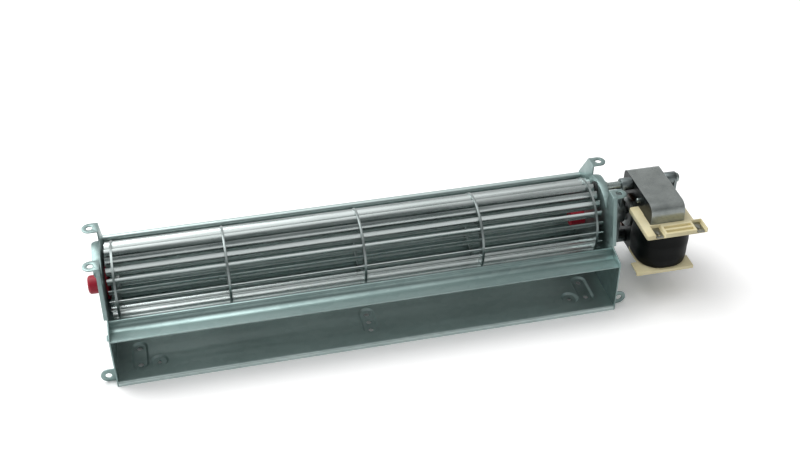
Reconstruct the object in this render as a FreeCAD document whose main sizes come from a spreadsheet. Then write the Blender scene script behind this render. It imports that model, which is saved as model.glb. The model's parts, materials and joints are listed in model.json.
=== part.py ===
"""Cross flow fan: a drum impeller in a folded casing, driven by a C-frame shaded-pole motor.

Millimetres. While it is built, X runs along the impeller's axis, Y to the rear and Z up, with the
axis at Y = Z = 0 and the drum's middle at X = 0. The last step moves the origin to the middle of
the box around the fan, at the height of the surface that it stands on.
"""
import FreeCAD, Part
import math
import os

Vector = FreeCAD.Vector

# Driving dimensions: alias, value, meaning
SIZES = [
    ("impeller_diameter", 60, "over the stiffening rings"),
    ("impeller_length", 360, "between the middles of the two end discs"),
    ("blade_count", 22, "blades round the drum"),
    ("blade_overhang", 5, "blade beyond the end disc"),
    ("blade_thickness", 0.5, "blade sheet"),
    ("blade_rim", 0.8, "ring metal outside the blades"),
    ("blade_depth", 7, "radial depth of a blade"),
    ("blade_exit_angle", 26, "blade tip to the circle, degrees"),
    ("blade_clearance", 0.05, "blade in its slot"),
    ("ring_thickness", 1.8, "stiffening ring"),
    ("ring_width", 8.6, "radial width of a stiffening ring"),
    ("ring_left_distance", 80, "left ring from the left end disc"),
    ("ring_right_distance", 90, "right ring from the right end disc"),
    ("ring_left_place", "=ring_left_distance - impeller_length / 2", "along the axis"),
    ("ring_middle_place", 0, "along the axis"),
    ("ring_right_place", "=impeller_length / 2 - ring_right_distance", "along the axis"),
    ("disc_thickness", 1.6, "end disc"),
    ("shaft_diameter", 6, "motor shaft and stub axle"),
    ("running_clearance", 0.04, "shaft in its bush, radial"),
    ("seat_clearance", 0.03, "piece fitted in its seat, radial"),
    ("collar_diameter", 16, "stub axle collar"),
    ("collar_thickness", 2, "stub axle collar"),
    ("stub_reach", 16, "stub axle beyond the end disc"),
    ("hub_diameter", 12, "rubber hub in the right disc"),
    ("hub_waist", 9.5, "rubber hub where the disc grips it"),
    ("hub_inner_length", 11, "rubber hub inside the drum"),
    ("hub_outer_length", 4, "rubber hub outside the disc"),
    ("end_gap", 7, "middle of an end disc to the end plate's inner face"),
    ("plate_gap", "=impeller_length + 2 * end_gap", "between the inner faces of the end plates"),
    ("plate_thickness", 1, "end plate sheet"),
    ("sheet_thickness", 0.8, "scroll and tongue sheet"),
    ("fold_radius", 1.2, "inside of a fold"),
    ("scroll_radius", 39.3, "inside of the spiral back"),
    ("scroll_centre_rear", -3, "spiral centre, rearward of the axis"),
    ("scroll_centre_up", -4.5, "spiral centre, above the axis"),
    ("scroll_end_angle", 29, "top of the spiral, degrees above the level"),
    ("rail_width", 1.4, "flat part of the flange along the top of the spiral"),
    ("outlet_front", 60.7, "axis to the outlet's front edge"),
    ("lip_height", 3.6, "floor down to the resting edge"),
    ("tongue_gap", 4, "tongue tip to the drum"),
    ("tongue_tip_drop", 13, "tongue tip below the axis"),
    ("tongue_top_front", 44, "top fold of the tongue, in front of the axis"),
    ("tongue_top_height", 1.6, "top fold of the tongue, above the axis"),
    ("tongue_dip", 7.6, "corner of the tongue's hollow below its top fold"),
    ("tongue_run", 1.5, "corner of the tongue's hollow in front of its top fold"),
    ("tongue_round", 5.8, "middle radius of the hollow"),
    ("tongue_edge_drop", 5, "front edge of the tongue below the axis"),
    ("arc_margin", 2.5, "end plate above the grommets"),
    ("plate_arc_radius", "=screw_height + grommet_diameter / 2 + arc_margin", "round top of the end plate"),
    ("plate_flange", 6, "flange of the round top, out from the inner face"),
    ("front_flange", 3, "flange of the slanted front edge"),
    ("plate_corner_drop", 1.8, "front corner of the end plate below the axis"),
    ("plate_margin", 1, "end plate beyond the scroll sheet"),
    ("foot_rear", 12, "rear end of the end plate's foot"),
    ("rear_edge_drop", 17, "end plate's rear edge leaves the spiral below its top, degrees"),
    ("ear_height", 39.3, "top ears' lower face above the axis"),
    ("ear_thickness", 1, "ear sheet"),
    ("ear_width", 11, "top ear"),
    ("ear_hole", 4.6, "hole of each ear"),
    ("ear_reach", 6.2, "ear hole from the plate's inner face"),
    ("front_ear_place", 29.6, "in front of the axis"),
    ("rear_ear_place", 14.4, "to the rear of the axis"),
    ("low_ear_place", 52.9, "in front of the axis"),
    ("low_ear_drop", 41.6, "hole below the axis"),
    ("tab_width", 6, "locking tab of the scroll and tongue"),
    ("tab_reach", 2.4, "locking tab beyond the plate's inner face"),
    ("tab_clearance", 0.1, "locking tab in its slot"),
    ("floor_tab_place", 14, "locking tab in the floor, in front of the axis"),
    ("spiral_tab_low", -35, "lower locking tab of the spiral, degrees from the level"),
    ("spiral_tab_high", 15, "upper locking tab of the spiral, degrees from the level"),
    ("tongue_tab_place", 54.5, "locking tab of the tongue, in front of the axis"),
    ("floor_hole", 4, "mounting hole in the floor"),
    ("side_hole_margin", 16.5, "end plate's inner face to the side holes"),
    ("row_front", 43.6, "front row of floor holes, in front of the axis"),
    ("row_rear", 26.4, "rear row of floor holes, in front of the axis"),
    ("dimple_margin", 30, "end plate's inner face to the dimple"),
    ("dimple_diameter", 13, "round dimple in the floor"),
    ("dimple_hole", 3, "hole in a dimple"),
    ("recess_width", 12, "oval recess around the floor holes"),
    ("recess_depth", 1.5, "recess and dimple below the floor"),
    ("recess_slope", 45, "walls of a recess, degrees"),
    ("mount_hole", 18, "hole for the rubber bearing mount"),
    ("mount_flange_diameter", 25, "inner flange of the bearing mount"),
    ("mount_flange_thickness", 2, "inner flange of the bearing mount"),
    ("mount_collar_diameter", 20, "outer collar of the bearing mount"),
    ("mount_collar_thickness", 1.5, "outer collar of the bearing mount"),
    ("mount_nose_diameter", 14, "nose of the bearing mount"),
    ("mount_nose_reach", 13.4, "nose beyond the plate's inner face"),
    ("mount_nose_round", 2.5, "rounded end of the nose"),
    ("mount_edge", 0.5, "bevelled rims of the bearing mount"),
    ("mount_end_wall", 2.2, "closed end of the nose"),
    ("bush_diameter", 10, "sintered bush"),
    ("bush_length", 9, "sintered bush"),
    ("core_gap", 28.5, "right plate's outer face to the core"),
    ("core_thickness", 27, "lamination stack"),
    ("core_height", 61, "lamination stack"),
    ("core_front", 42, "core's front face, in front of the axis"),
    ("core_rear", 14.4, "core's square rear, behind the axis"),
    ("core_tail_radius", 22, "round tail about the axis"),
    ("core_limb", 14.5, "height of the upper limb"),
    ("core_lower_limb", 10.5, "height of the lower limb"),
    ("core_leg", 13, "depth of the leg in the coil"),
    ("core_bridge", 4, "core in front of the rotor"),
    ("core_front_round", 8, "front corners"),
    ("core_rear_round", 5, "rear corners"),
    ("rotor_diameter", 26.2, "motor rotor"),
    ("air_gap", 0.4, "rotor to core"),
    ("end_ring_thickness", 2.2, "cast ring at each end of the rotor"),
    ("end_ring_bore", 16, "cast ring"),
    ("end_ring_step", 0.3, "rotor beyond its cast ring, radial"),
    ("shaft_recess", 2, "shaft's end inside the outer cup"),
    ("shading_bar", 2.2, "copper bar"),
    ("shading_width", 8, "shading turn across"),
    ("shading_wall", 1.5, "core between the rotor and the shading turn"),
    ("shading_height", "=rotor_diameter / 2 + air_gap + shading_wall + shading_bar / 2",
     "middle of the shading turn from the axis"),
    ("shading_start", 1.5, "shading turn's near side from the axis"),
    ("screw_diameter", 4, "through screws"),
    ("screw_hole", 4.3, "hole for a through screw"),
    ("screw_margin", 5, "bracket screws from the core's upper and lower sides"),
    ("screw_height", "=core_height / 2 - screw_margin", "bracket screws above and below the axis"),
    ("clamp_margin", 9, "upper clamp screw below the core's upper side"),
    ("clamp_height", "=core_height / 2 - clamp_margin", "upper clamp screw above the axis"),
    ("clamp_front", "=rotor_diameter / 2 + air_gap + core_bridge", "clamp screws in front of the axis"),
    ("screw_head_diameter", 7.6, "pan head"),
    ("screw_head_height", 2.8, "pan head"),
    ("clamp_tip", 2, "clamp screw beyond the core's left face"),
    ("screw_edge", 0.5, "bevel of a screw's tip and half the bevel of its head"),
    ("nut_width", 7, "across the flats"),
    ("nut_height", 3.2, "nut"),
    ("sleeve_diameter", 6, "spacer sleeve"),
    ("grommet_hole", 8, "hole in the right plate"),
    ("grommet_diameter", 11, "rubber grommet"),
    ("grommet_inner", 1.2, "grommet inside the plate"),
    ("grommet_outer", 5.5, "grommet outside the plate"),
    ("grommet_edge", 1.4, "bevel of the grommet"),
    ("boss_diameter", 10, "screw bosses of the brackets, and their bars across"),
    ("bar_stand", 6.8, "bar of a bracket off the core"),
    ("bar_thickness", 2.5, "bar of a bracket"),
    ("cup_stand", 5, "bearing cup off the core"),
    ("cup_diameter", 18, "bearing cup"),
    ("cup_length", 9, "bearing cup"),
    ("motor_bush_diameter", 11, "motor bush"),
    ("motor_bush_length", 8, "motor bush"),
    ("flange_thickness", 3.8, "upper flange of the bobbin"),
    ("lower_flange", 1.2, "lower flange of the bobbin"),
    ("lower_flange_reach", 4, "lower flange beyond the upper one, towards the end plate"),
    ("flange_overhang", 1, "bobbin flange beyond the winding"),
    ("flange_clearance", 0.2, "bobbin flange off the core"),
    ("flange_round", 1.5, "corners of the bobbin flange"),
    ("winding_side", 6.5, "winding beside the core"),
    ("winding_front", 12.5, "winding in front of the core"),
    ("winding_round", 17, "winding corners"),
    ("tube_wall", 1.2, "bobbin tube"),
    ("tube_clearance", 0.1, "leg in the bobbin"),
    ("lower_flange_depth", 13.5, "wide front part of the lower flange"),
    ("apron_height", 1.5, "lower flange's front apron"),
    ("apron_thickness", 2.5, "lower flange's front apron"),
    ("trough_depth", 2, "troughs in the upper flange"),
    ("trough_width", 3.4, "troughs in the upper flange"),
    ("trough_length", 22, "troughs in the upper flange"),
    ("trough_rim", 1.3, "wall in front of a trough"),
    ("terminal_width", 6.3, "spade terminal"),
    ("terminal_thickness", 0.8, "spade terminal"),
    ("terminal_length", 12, "spade terminal"),
    ("terminal_hole", 1.8, "spade terminal"),
    ("terminal_hole_place", 3, "hole from the terminal's tip"),
    ("terminal_round", 1.2, "corners of the terminal"),
    ("terminal_sink", 2.6, "terminal's upper face below the upper flange"),
    ("terminal_pocket", 8, "pocket of a terminal across"),
    ("pocket_rim", 0.7, "wall around a terminal's pocket"),
    ("terminal_root", 1.4, "terminal off the core"),
    ("terminal_left_place", 3, "left terminal from the core's left face"),
    ("terminal_right_place", 36, "right terminal from the core's left face"),
]

doc = FreeCAD.newDocument("cross_flow_fan")
sheet = doc.addObject("Spreadsheet::Sheet", "Sizes")
ORIGIN = [(f"origin_{letter}", 0, "worked out at the end") for letter in "xyz"]
for row, (alias, value, meaning) in enumerate(SIZES + ORIGIN, start=1):
    sheet.set(f"A{row}", alias)
    sheet.set(f"B{row}", str(value))
    sheet.set(f"C{row}", meaning)
    sheet.setAlias(f"B{row}", alias)
doc.recompute()

NODES = []


def size(alias):
    """Number in the sheet's cell of that name."""
    return float(sheet.get(alias))


# Plane outlines


def line(start, end):
    return Part.LineSegment(Vector(*start, 0), Vector(*end, 0))


def arc(centre, radius, start_angle, end_angle):
    """Arc from one angle to the other, in degrees, either way round."""
    def point(angle):
        turn = math.radians(angle)
        return Vector(centre[0] + radius * math.cos(turn), centre[1] + radius * math.sin(turn), 0)
    return Part.ArcOfCircle(point(start_angle), point((start_angle + end_angle) / 2), point(end_angle))


def closed(points):
    """Straight-sided closed outline."""
    return [line(a, b) for a, b in zip(points, points[1:] + points[:1])]


def rectangle(low, high):
    return closed([low, (high[0], low[1]), high, (low[0], high[1])])


def direction(start, end):
    length = math.dist(start, end)
    return ((end[0] - start[0]) / length, (end[1] - start[1]) / length)


def corner(before, point, after, radius):
    """Centre, start angle and swept angle of the arc that rounds one corner."""
    d_in, d_out = direction(before, point), direction(point, after)
    turn = math.atan2(d_in[0] * d_out[1] - d_in[1] * d_out[0], d_in[0] * d_out[0] + d_in[1] * d_out[1])
    side = math.copysign(1, turn)
    back = radius * math.tan(abs(turn) / 2)
    tangent = (point[0] - d_in[0] * back, point[1] - d_in[1] * back)
    centre = (tangent[0] - side * d_in[1] * radius, tangent[1] + side * d_in[0] * radius)
    start = math.degrees(math.atan2(tangent[1] - centre[1], tangent[0] - centre[0]))
    return centre, start, math.degrees(turn)


def joined(points):
    return [line(a, b) for a, b in zip(points, points[1:]) if math.dist(a, b) > 1e-6]


def on_circle(centre, radius, angle):
    turn = math.radians(angle)
    return (centre[0] + radius * math.cos(turn), centre[1] + radius * math.sin(turn))


def rounded(points, radii):
    """Closed outline with its corners rounded; a radius of 0 keeps a corner sharp."""
    pieces = []
    for i, (point, radius) in enumerate(zip(points, radii)):
        if radius:
            pieces.append((radius, *corner(points[i - 1], point, points[(i + 1) % len(points)], radius)))
        else:
            pieces.append((0, point, 0, 0))
    edges = []
    for i, (radius, centre, start, turn) in enumerate(pieces):
        if radius:
            edges.append(arc(centre, radius, start, start + turn))
        next_radius, next_centre, next_start, _ = pieces[(i + 1) % len(pieces)]
        next_point = on_circle(next_centre, next_radius, next_start)
        edges += joined([on_circle(centre, radius, start + turn), next_point])
    return edges


def folded(points, radii, thickness):
    """Outline of a folded sheet: the mid-line runs through the points, each fold with its mid radius."""
    sides = []
    for side in (1, -1):
        half = side * thickness / 2
        ends, arcs = [], []
        for point, d in ((points[0], direction(*points[:2])), (points[-1], direction(*points[-2:]))):
            ends.append((point[0] - d[1] * half, point[1] + d[0] * half))
        for before, point, after, radius in zip(points, points[1:], points[2:], radii):
            centre, start, turn = corner(before, point, after, radius)
            shifted = radius - side * math.copysign(thickness / 2, turn)
            arcs.append((centre, shifted, start, start + turn))
        sides.append((ends[0], arcs, ends[1]))
    edges = []
    for first, arcs, last in sides:
        here = first
        for centre, radius, start, end in arcs:
            edges += joined([here, on_circle(centre, radius, start)])
            edges.append(arc(centre, radius, start, end))
            here = on_circle(centre, radius, end)
        edges += joined([here, last])
    edges += [line(sides[0][0], sides[1][0]), line(sides[0][2], sides[1][2])]
    return edges


def circle(centre, diameter):
    return [Part.Circle(Vector(*centre, 0), Vector(0, 0, 1), diameter / 2)]


def stadium(start, end, radius):
    """Outline of a slot with round ends about two centres."""
    lean = math.degrees(math.atan2(end[1] - start[1], end[0] - start[0]))
    left, right = lean + 90, lean - 90
    return [arc(start, radius, left, left + 180),
            line(on_circle(start, radius, right), on_circle(end, radius, right)),
            arc(end, radius, right, right + 180),
            line(on_circle(end, radius, left), on_circle(start, radius, left))]


# PartDesign steps


def new_body(label, at=("0", "0", "0"), node=True):
    """Body whose Placement follows the sheet; node says that it is written as a sub-part."""
    body = doc.addObject("PartDesign::Body", label)
    body.Label = label
    for letter, place in zip("xyz", at):
        body.setExpression(f"Placement.Base.{letter}", f"{place} + Sizes.origin_{letter}")
    if node:
        NODES.append(body)
    return body


def origin_feature(body, role):
    return next(feature for feature in body.Origin.OriginFeatures if feature.Role == role)


def sketch(body, plane, edges, offset="0"):
    """Sketch on one of the body's origin planes, lifted off it by an expression."""
    result = body.newObject("Sketcher::SketchObject", "Sketch")
    result.AttachmentSupport = [(origin_feature(body, plane), "")]
    result.MapMode = "FlatFace"
    result.setExpression("AttachmentOffset.Base.z", offset)
    result.addGeometry(edges, False)
    return result


def pad(body, plane, edges, length, offset="0", midplane=False, reverse=False):
    feature = body.newObject("PartDesign::Pad", "Pad")
    feature.Profile = sketch(body, plane, edges, offset)
    feature.setExpression("Length", length)
    feature.Midplane = midplane
    feature.Reversed = reverse
    return feature


def pocket(body, plane, edges, length=None, offset="0", reverse=False, midplane=False):
    """Pocket of that length, or right through both ways if none is given."""
    feature = body.newObject("PartDesign::Pocket", "Pocket")
    feature.Profile = sketch(body, plane, edges, offset)
    if length is None:
        feature.Type = "ThroughAll"
        feature.Midplane = True
    else:
        feature.setExpression("Length", length)
        feature.Midplane = midplane
    feature.Reversed = reverse
    return feature


def turned(label, profile, at=("0", "0", "0"), node=True):
    """Body turned about X from a closed profile of (along, radius) points in the XY plane."""
    body = new_body(label, at, node)
    turn = body.newObject("PartDesign::Revolution", "Revolution")
    turn.Profile = sketch(body, "XY_Plane", profile)
    turn.ReferenceAxis = (origin_feature(body, "X_Axis"), [""])
    turn.Angle = 360
    return body


def around(body, feature, count):
    """The feature repeated round the X axis."""
    pattern = body.newObject("PartDesign::PolarPattern", "PolarPattern")
    pattern.Originals = [feature]
    pattern.Axis = (origin_feature(body, "X_Axis"), [""])
    pattern.Angle = 360
    pattern.setExpression("Occurrences", count)
    body.Tip = pattern
    return pattern


def group(label, members):
    """Node of several separate solids, each a body of its own."""
    result = doc.addObject("Part::Compound", label)
    result.Label = label
    result.Links = members
    NODES.append(result)
    return result


# Impeller


def blade_profile(clearance):
    """Forward-curved blade at the angle 0: two arcs about the centre of curvature of its mid-line."""
    outer = size("impeller_diameter") / 2 - size("blade_rim")
    inner = outer - size("blade_depth")
    exit_angle = math.radians(size("blade_exit_angle"))
    bend = (outer ** 2 - inner ** 2) / (2 * outer * math.cos(exit_angle))
    centre = (inner, -bend)
    reach = math.hypot(*centre)
    to_tip = math.acos((reach ** 2 + outer ** 2 - bend ** 2) / (2 * reach * outer))
    tip_angle = math.atan2(-bend, inner) + to_tip
    tip = (outer * math.cos(tip_angle), outer * math.sin(tip_angle))
    end = math.degrees(math.atan2(tip[1] + bend, tip[0] - inner))
    spare = math.degrees(clearance / bend)
    half = size("blade_thickness") / 2 + clearance
    start = 90 + spare
    stop = end - spare
    return [arc(centre, bend + half, start, stop), arc(centre, bend - half, start, stop),
            line(on_circle(centre, bend + half, start), on_circle(centre, bend - half, start)),
            line(on_circle(centre, bend + half, stop), on_circle(centre, bend - half, stop))]


def build_blades():
    body = new_body("impeller_blades")
    body.AllowCompound = True
    length = "Sizes.impeller_length + 2 * Sizes.blade_overhang"
    blade = pad(body, "YZ_Plane", blade_profile(0), length, midplane=True)
    around(body, blade, "Sizes.blade_count")


def slotted_disc(label, place, thickness, bore):
    """Disc or ring with a slot for each blade."""
    body = new_body(label, (place, "0", "0"))
    rim = circle((0, 0), size("impeller_diameter"))
    pad(body, "YZ_Plane", rim + circle((0, 0), bore), thickness, midplane=True)
    slot = pocket(body, "YZ_Plane", blade_profile(size("blade_clearance")))
    around(body, slot, "Sizes.blade_count")


def build_impeller():
    build_blades()
    ring_bore = size("impeller_diameter") - 2 * size("ring_width")
    for side in ("left", "middle", "right"):
        slotted_disc(f"ring_{side}", f"Sizes.ring_{side}_place", "Sizes.ring_thickness", ring_bore)
    axle_hole = size("shaft_diameter") + 2 * size("seat_clearance")
    hub_hole = size("hub_waist") + 2 * size("seat_clearance")
    slotted_disc("end_disc_left", "-Sizes.impeller_length / 2", "Sizes.disc_thickness", axle_hole)
    slotted_disc("end_disc_right", "Sizes.impeller_length / 2", "Sizes.disc_thickness", hub_hole)
    build_stub_axle()
    build_coupling_hub()


def build_stub_axle():
    half_disc = size("disc_thickness") / 2
    axle = size("shaft_diameter") / 2
    collar = size("collar_diameter") / 2
    inner = half_disc + size("collar_thickness")
    turned("stub_axle", closed([(inner, 0), (inner, collar), (half_disc, collar), (half_disc, axle),
                                (-size("stub_reach"), axle), (-size("stub_reach"), 0)]),
           ("-Sizes.impeller_length / 2", "0", "0"))


def build_coupling_hub():
    half_disc = size("disc_thickness") / 2
    waist = size("hub_waist") / 2
    outer = size("hub_diameter") / 2
    bore = size("shaft_diameter") / 2 + size("seat_clearance")
    inner_end, outer_end = -half_disc - size("hub_inner_length"), half_disc + size("hub_outer_length")
    outline = [(inner_end, bore), (inner_end, outer), (-half_disc, outer), (-half_disc, waist),
               (half_disc, waist), (half_disc, outer), (outer_end, outer), (outer_end, bore)]
    turned("coupling_hub", closed(outline), ("Sizes.impeller_length / 2", "0", "0"))


# Casing


def floor_height():
    """Upper face of the floor."""
    return size("scroll_centre_up") - size("scroll_radius")


def scroll_path():
    """Mid-line of the scroll sheet from the resting edge to the rail, with its fold radii."""
    half = size("sheet_thickness") / 2
    radius = size("scroll_radius") + half
    centre = (size("scroll_centre_rear"), size("scroll_centre_up"))
    turn = 90 + size("scroll_end_angle")
    reach = radius / math.cos(math.radians(turn / 2))
    apex = on_circle(centre, reach, -90 + turn / 2)
    fold = size("fold_radius") + half
    top = on_circle(centre, radius, size("scroll_end_angle"))
    run = fold * math.tan(math.radians(turn / 2))
    knee = (top[0] - run * math.sin(math.radians(size("scroll_end_angle"))),
            top[1] + run * math.cos(math.radians(size("scroll_end_angle"))))
    front = -size("outlet_front") + half
    floor = floor_height() - half
    foot = floor_height() - size("lip_height")
    points = [(front, foot), (front, floor), apex, knee, (knee[0] + run + size("rail_width"), knee[1])]
    return points, [fold, radius, fold]


def tongue_path():
    """Mid-line of the tongue sheet from its tip by the drum to its front edge, with its fold radii."""
    half = size("sheet_thickness") / 2
    near = size("impeller_diameter") / 2 + size("tongue_gap") + half
    tip = (-math.sqrt(near ** 2 - size("tongue_tip_drop") ** 2), -size("tongue_tip_drop"))
    top = (-size("tongue_top_front"), size("tongue_top_height") - half)
    hollow = (top[0] - size("tongue_run"), top[1] - size("tongue_dip"))
    front = (half - size("outlet_front"), -size("tongue_edge_drop") - half)
    return [tip, top, hollow, front], [size("fold_radius"), size("tongue_round")]


def tab_outlines(clearance):
    """Sections of the locking tabs: floor and spiral for the scroll, shelf for the tongue."""
    half = size("sheet_thickness") / 2 + clearance
    reach = size("tab_width") / 2 + clearance
    floor = floor_height() - size("sheet_thickness") / 2
    place = -size("floor_tab_place")
    floor_tab = rectangle((place - reach, floor - half), (place + reach, floor + half))
    centre = (size("scroll_centre_rear"), size("scroll_centre_up"))
    middle = size("scroll_radius") + size("sheet_thickness") / 2
    spread = math.degrees(reach / middle)
    bands = []
    for angle in (size("spiral_tab_low"), size("spiral_tab_high")):
        low, high = angle - spread, angle + spread
        bands.append([arc(centre, middle - half, low, high), arc(centre, middle + half, low, high),
                      line(on_circle(centre, middle - half, low), on_circle(centre, middle + half, low)),
                      line(on_circle(centre, middle - half, high), on_circle(centre, middle + half, high))])
    _, _, hollow, front = tongue_path()[0]
    d = direction(hollow, front)
    along = (-size("tongue_tab_place") - hollow[0]) / d[0]
    y, z = hollow[0] + d[0] * along, hollow[1] + d[1] * along
    shelf = closed([(y + a * d[0] * reach - b * d[1] * half, z + a * d[1] * reach + b * d[0] * half)
                    for a, b in ((-1, -1), (1, -1), (1, 1), (-1, 1))])
    return [floor_tab] + bands, shelf


def build_scroll():
    body = new_body("scroll_housing")
    pad(body, "YZ_Plane", folded(*scroll_path(), size("sheet_thickness")), "Sizes.plate_gap", midplane=True)
    for outline in tab_outlines(0)[0]:
        pad(body, "YZ_Plane", outline, "Sizes.plate_gap + 2 * Sizes.tab_reach", midplane=True)
    cut_floor(body)


def cut_floor(body):
    """Pressed recesses and dimples of the floor, with sloping walls, and the mounting holes in them."""
    rows = (-size("row_front"), -size("row_rear"))
    side = size("plate_gap") / 2 - size("side_hole_margin")
    dimple = size("plate_gap") / 2 - size("dimple_margin")
    top = "Sizes.scroll_centre_up - Sizes.scroll_radius"
    spare = size("sheet_thickness") * math.tan(math.radians(size("recess_slope") / 2))

    def outlines(wider):
        result = []
        for along in (-side, 0, side):
            result += stadium((along, rows[0]), (along, rows[1]), size("recess_width") / 2 + wider)
        for along in (-dimple, dimple):
            result += circle((along, rows[0]), size("dimple_diameter") + 2 * wider)
        return result

    underside = top + " - Sizes.sheet_thickness"
    below = pad(body, "XY_Plane", outlines(spare), "Sizes.recess_depth", underside, reverse=True)
    hollow = pocket(body, "XY_Plane", outlines(0), "Sizes.recess_depth", top)
    for feature in (below, hollow):
        feature.setExpression("TaperAngle", "-Sizes.recess_slope")
    holes = []
    for along in (-side, 0, side):
        for across in rows:
            holes += circle((along, across), size("floor_hole"))
    holes += circle((0, (rows[0] + rows[1]) / 2), size("floor_hole"))
    for along in (-dimple, dimple):
        holes += circle((along, rows[0]), size("dimple_hole"))
    pocket(body, "XY_Plane", holes, "Sizes.lip_height", top)


def build_tongue():
    body = new_body("vortex_tongue")
    pad(body, "YZ_Plane", folded(*tongue_path(), size("sheet_thickness")), "Sizes.plate_gap", midplane=True)
    pad(body, "YZ_Plane", tab_outlines(0)[1], "Sizes.plate_gap + 2 * Sizes.tab_reach", midplane=True)


def plate_points():
    """Named corners of the end plate, as (rearward, up)."""
    arc_radius = size("plate_arc_radius")
    ear = size("ear_height") + size("ear_thickness")
    front_ear, rear_ear = -size("front_ear_place"), size("rear_ear_place")
    half_ear = size("ear_width") / 2
    rear_arc = size("scroll_radius") + size("sheet_thickness") + size("plate_margin")
    centre = (size("scroll_centre_rear"), size("scroll_centre_up"))
    edge_angle = size("scroll_end_angle") - size("rear_edge_drop")
    rail = scroll_path()[0][-1]
    foot = floor_height() - size("lip_height")
    heel = size("foot_rear")
    heel_height = centre[1] - math.sqrt(rear_arc ** 2 - (heel - centre[0]) ** 2)
    front_leg_rear = front_ear + half_ear
    rear_leg_front = rear_ear - half_ear
    return {
        "toe": (-size("outlet_front"), foot),
        "heel": (heel, foot),
        "heel_top": (heel, heel_height),
        "edge_end": on_circle(centre, rear_arc, edge_angle),
        "rail_corner": (rail[0] + size("plate_margin"), rail[1] + size("plate_margin")),
        "rear_ear_back": (rear_ear + half_ear, ear),
        "rear_ear_front": (rear_leg_front, ear),
        "arc_rear": (rear_leg_front, math.sqrt(arc_radius ** 2 - rear_leg_front ** 2)),
        "arc_front": (front_leg_rear, math.sqrt(arc_radius ** 2 - front_leg_rear ** 2)),
        "front_ear_back": (front_leg_rear, ear),
        "front_ear_front": (front_ear - half_ear, ear),
        "tongue_top": (-size("tongue_top_front"), size("tongue_top_height")),
        "front_corner": (-size("outlet_front"), -size("plate_corner_drop")),
    }, centre, rear_arc, edge_angle


def angle_of(point, centre=(0, 0)):
    return math.degrees(math.atan2(point[1] - centre[1], point[0] - centre[0]))


def plate_outline():
    p, centre, rear_arc, edge_angle = plate_points()
    radius = size("plate_arc_radius")
    return (joined([p["arc_front"], p["front_ear_back"], p["front_ear_front"], p["tongue_top"],
                    p["front_corner"], p["toe"], p["heel"], p["heel_top"]])
            + [arc(centre, rear_arc, angle_of(p["heel_top"], centre), edge_angle)]
            + joined([p["edge_end"], p["rail_corner"], p["rear_ear_back"], p["rear_ear_front"],
                      p["arc_rear"]])
            + [arc((0, 0), radius, angle_of(p["arc_rear"]), angle_of(p["arc_front"]))])


def build_plate(label, side, hole):
    """End plate; side is -1 for the left plate and 1 for the right one."""
    body = new_body(label, (f"{side} * Sizes.plate_gap / 2", "0", "0"))
    reverse = side < 0
    p = plate_points()[0]
    wall = size("plate_thickness")
    pad(body, "YZ_Plane", plate_outline(), "Sizes.plate_thickness", reverse=reverse)
    radius = size("plate_arc_radius")
    rear, front = angle_of(p["arc_rear"]), angle_of(p["arc_front"])
    top_band = [arc((0, 0), radius, rear, front), arc((0, 0), radius - wall, rear, front),
                line(on_circle((0, 0), radius, rear), on_circle((0, 0), radius - wall, rear)),
                line(on_circle((0, 0), radius, front), on_circle((0, 0), radius - wall, front))]
    pad(body, "YZ_Plane", top_band, "Sizes.plate_flange", reverse=reverse)
    d = direction(p["front_ear_front"], p["tongue_top"])
    inward = (-d[1] * wall, d[0] * wall)
    front_band = closed([p["front_ear_front"], p["tongue_top"],
                         (p["tongue_top"][0] + inward[0], p["tongue_top"][1] + inward[1]),
                         (p["front_ear_front"][0] + inward[0], p["front_ear_front"][1] + inward[1])])
    pad(body, "YZ_Plane", front_band, "Sizes.front_flange", reverse=reverse)
    add_ears(body, side)
    holes = circle((0, 0), hole)
    if side > 0:
        for place in bracket_screw_places():
            holes += circle(place, size("grommet_hole"))
    for outline in tab_outlines(size("tab_clearance"))[0] + [tab_outlines(size("tab_clearance"))[1]]:
        holes += outline
    pocket(body, "YZ_Plane", holes, "3 * Sizes.plate_thickness", midplane=True)


def add_ears(body, side):
    """Two level ears on top and an upright one by the outlet, each a rounded tab with a hole."""
    half = size("ear_width") / 2
    reach = side * size("ear_reach")
    for place in (-size("front_ear_place"), size("rear_ear_place")):
        tab = [line((0, place - half), (reach, place - half)),
               arc((reach, place), half, -90, -90 + side * 180),
               line((reach, place + half), (0, place + half)), line((0, place + half), (0, place - half))]
        hole = circle((reach, place), size("ear_hole"))
        pad(body, "XY_Plane", tab + hole, "Sizes.ear_thickness", "Sizes.ear_height")
    drop = -size("low_ear_drop")
    upright = [line((0, drop - half), (reach, drop - half)),
               arc((reach, drop), half, -90, -90 + side * 180),
               line((reach, drop + half), (0, drop + half)), line((0, drop + half), (0, drop - half))]
    pad(body, "XZ_Plane", upright + circle((reach, drop), size("ear_hole")), "Sizes.ear_thickness",
        "Sizes.low_ear_place")


def build_casing():
    build_scroll()
    build_tongue()
    build_plate("end_plate_left", -1, size("mount_hole"))
    build_plate("end_plate_right", 1, size("mount_hole"))
    build_bearing()


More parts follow.
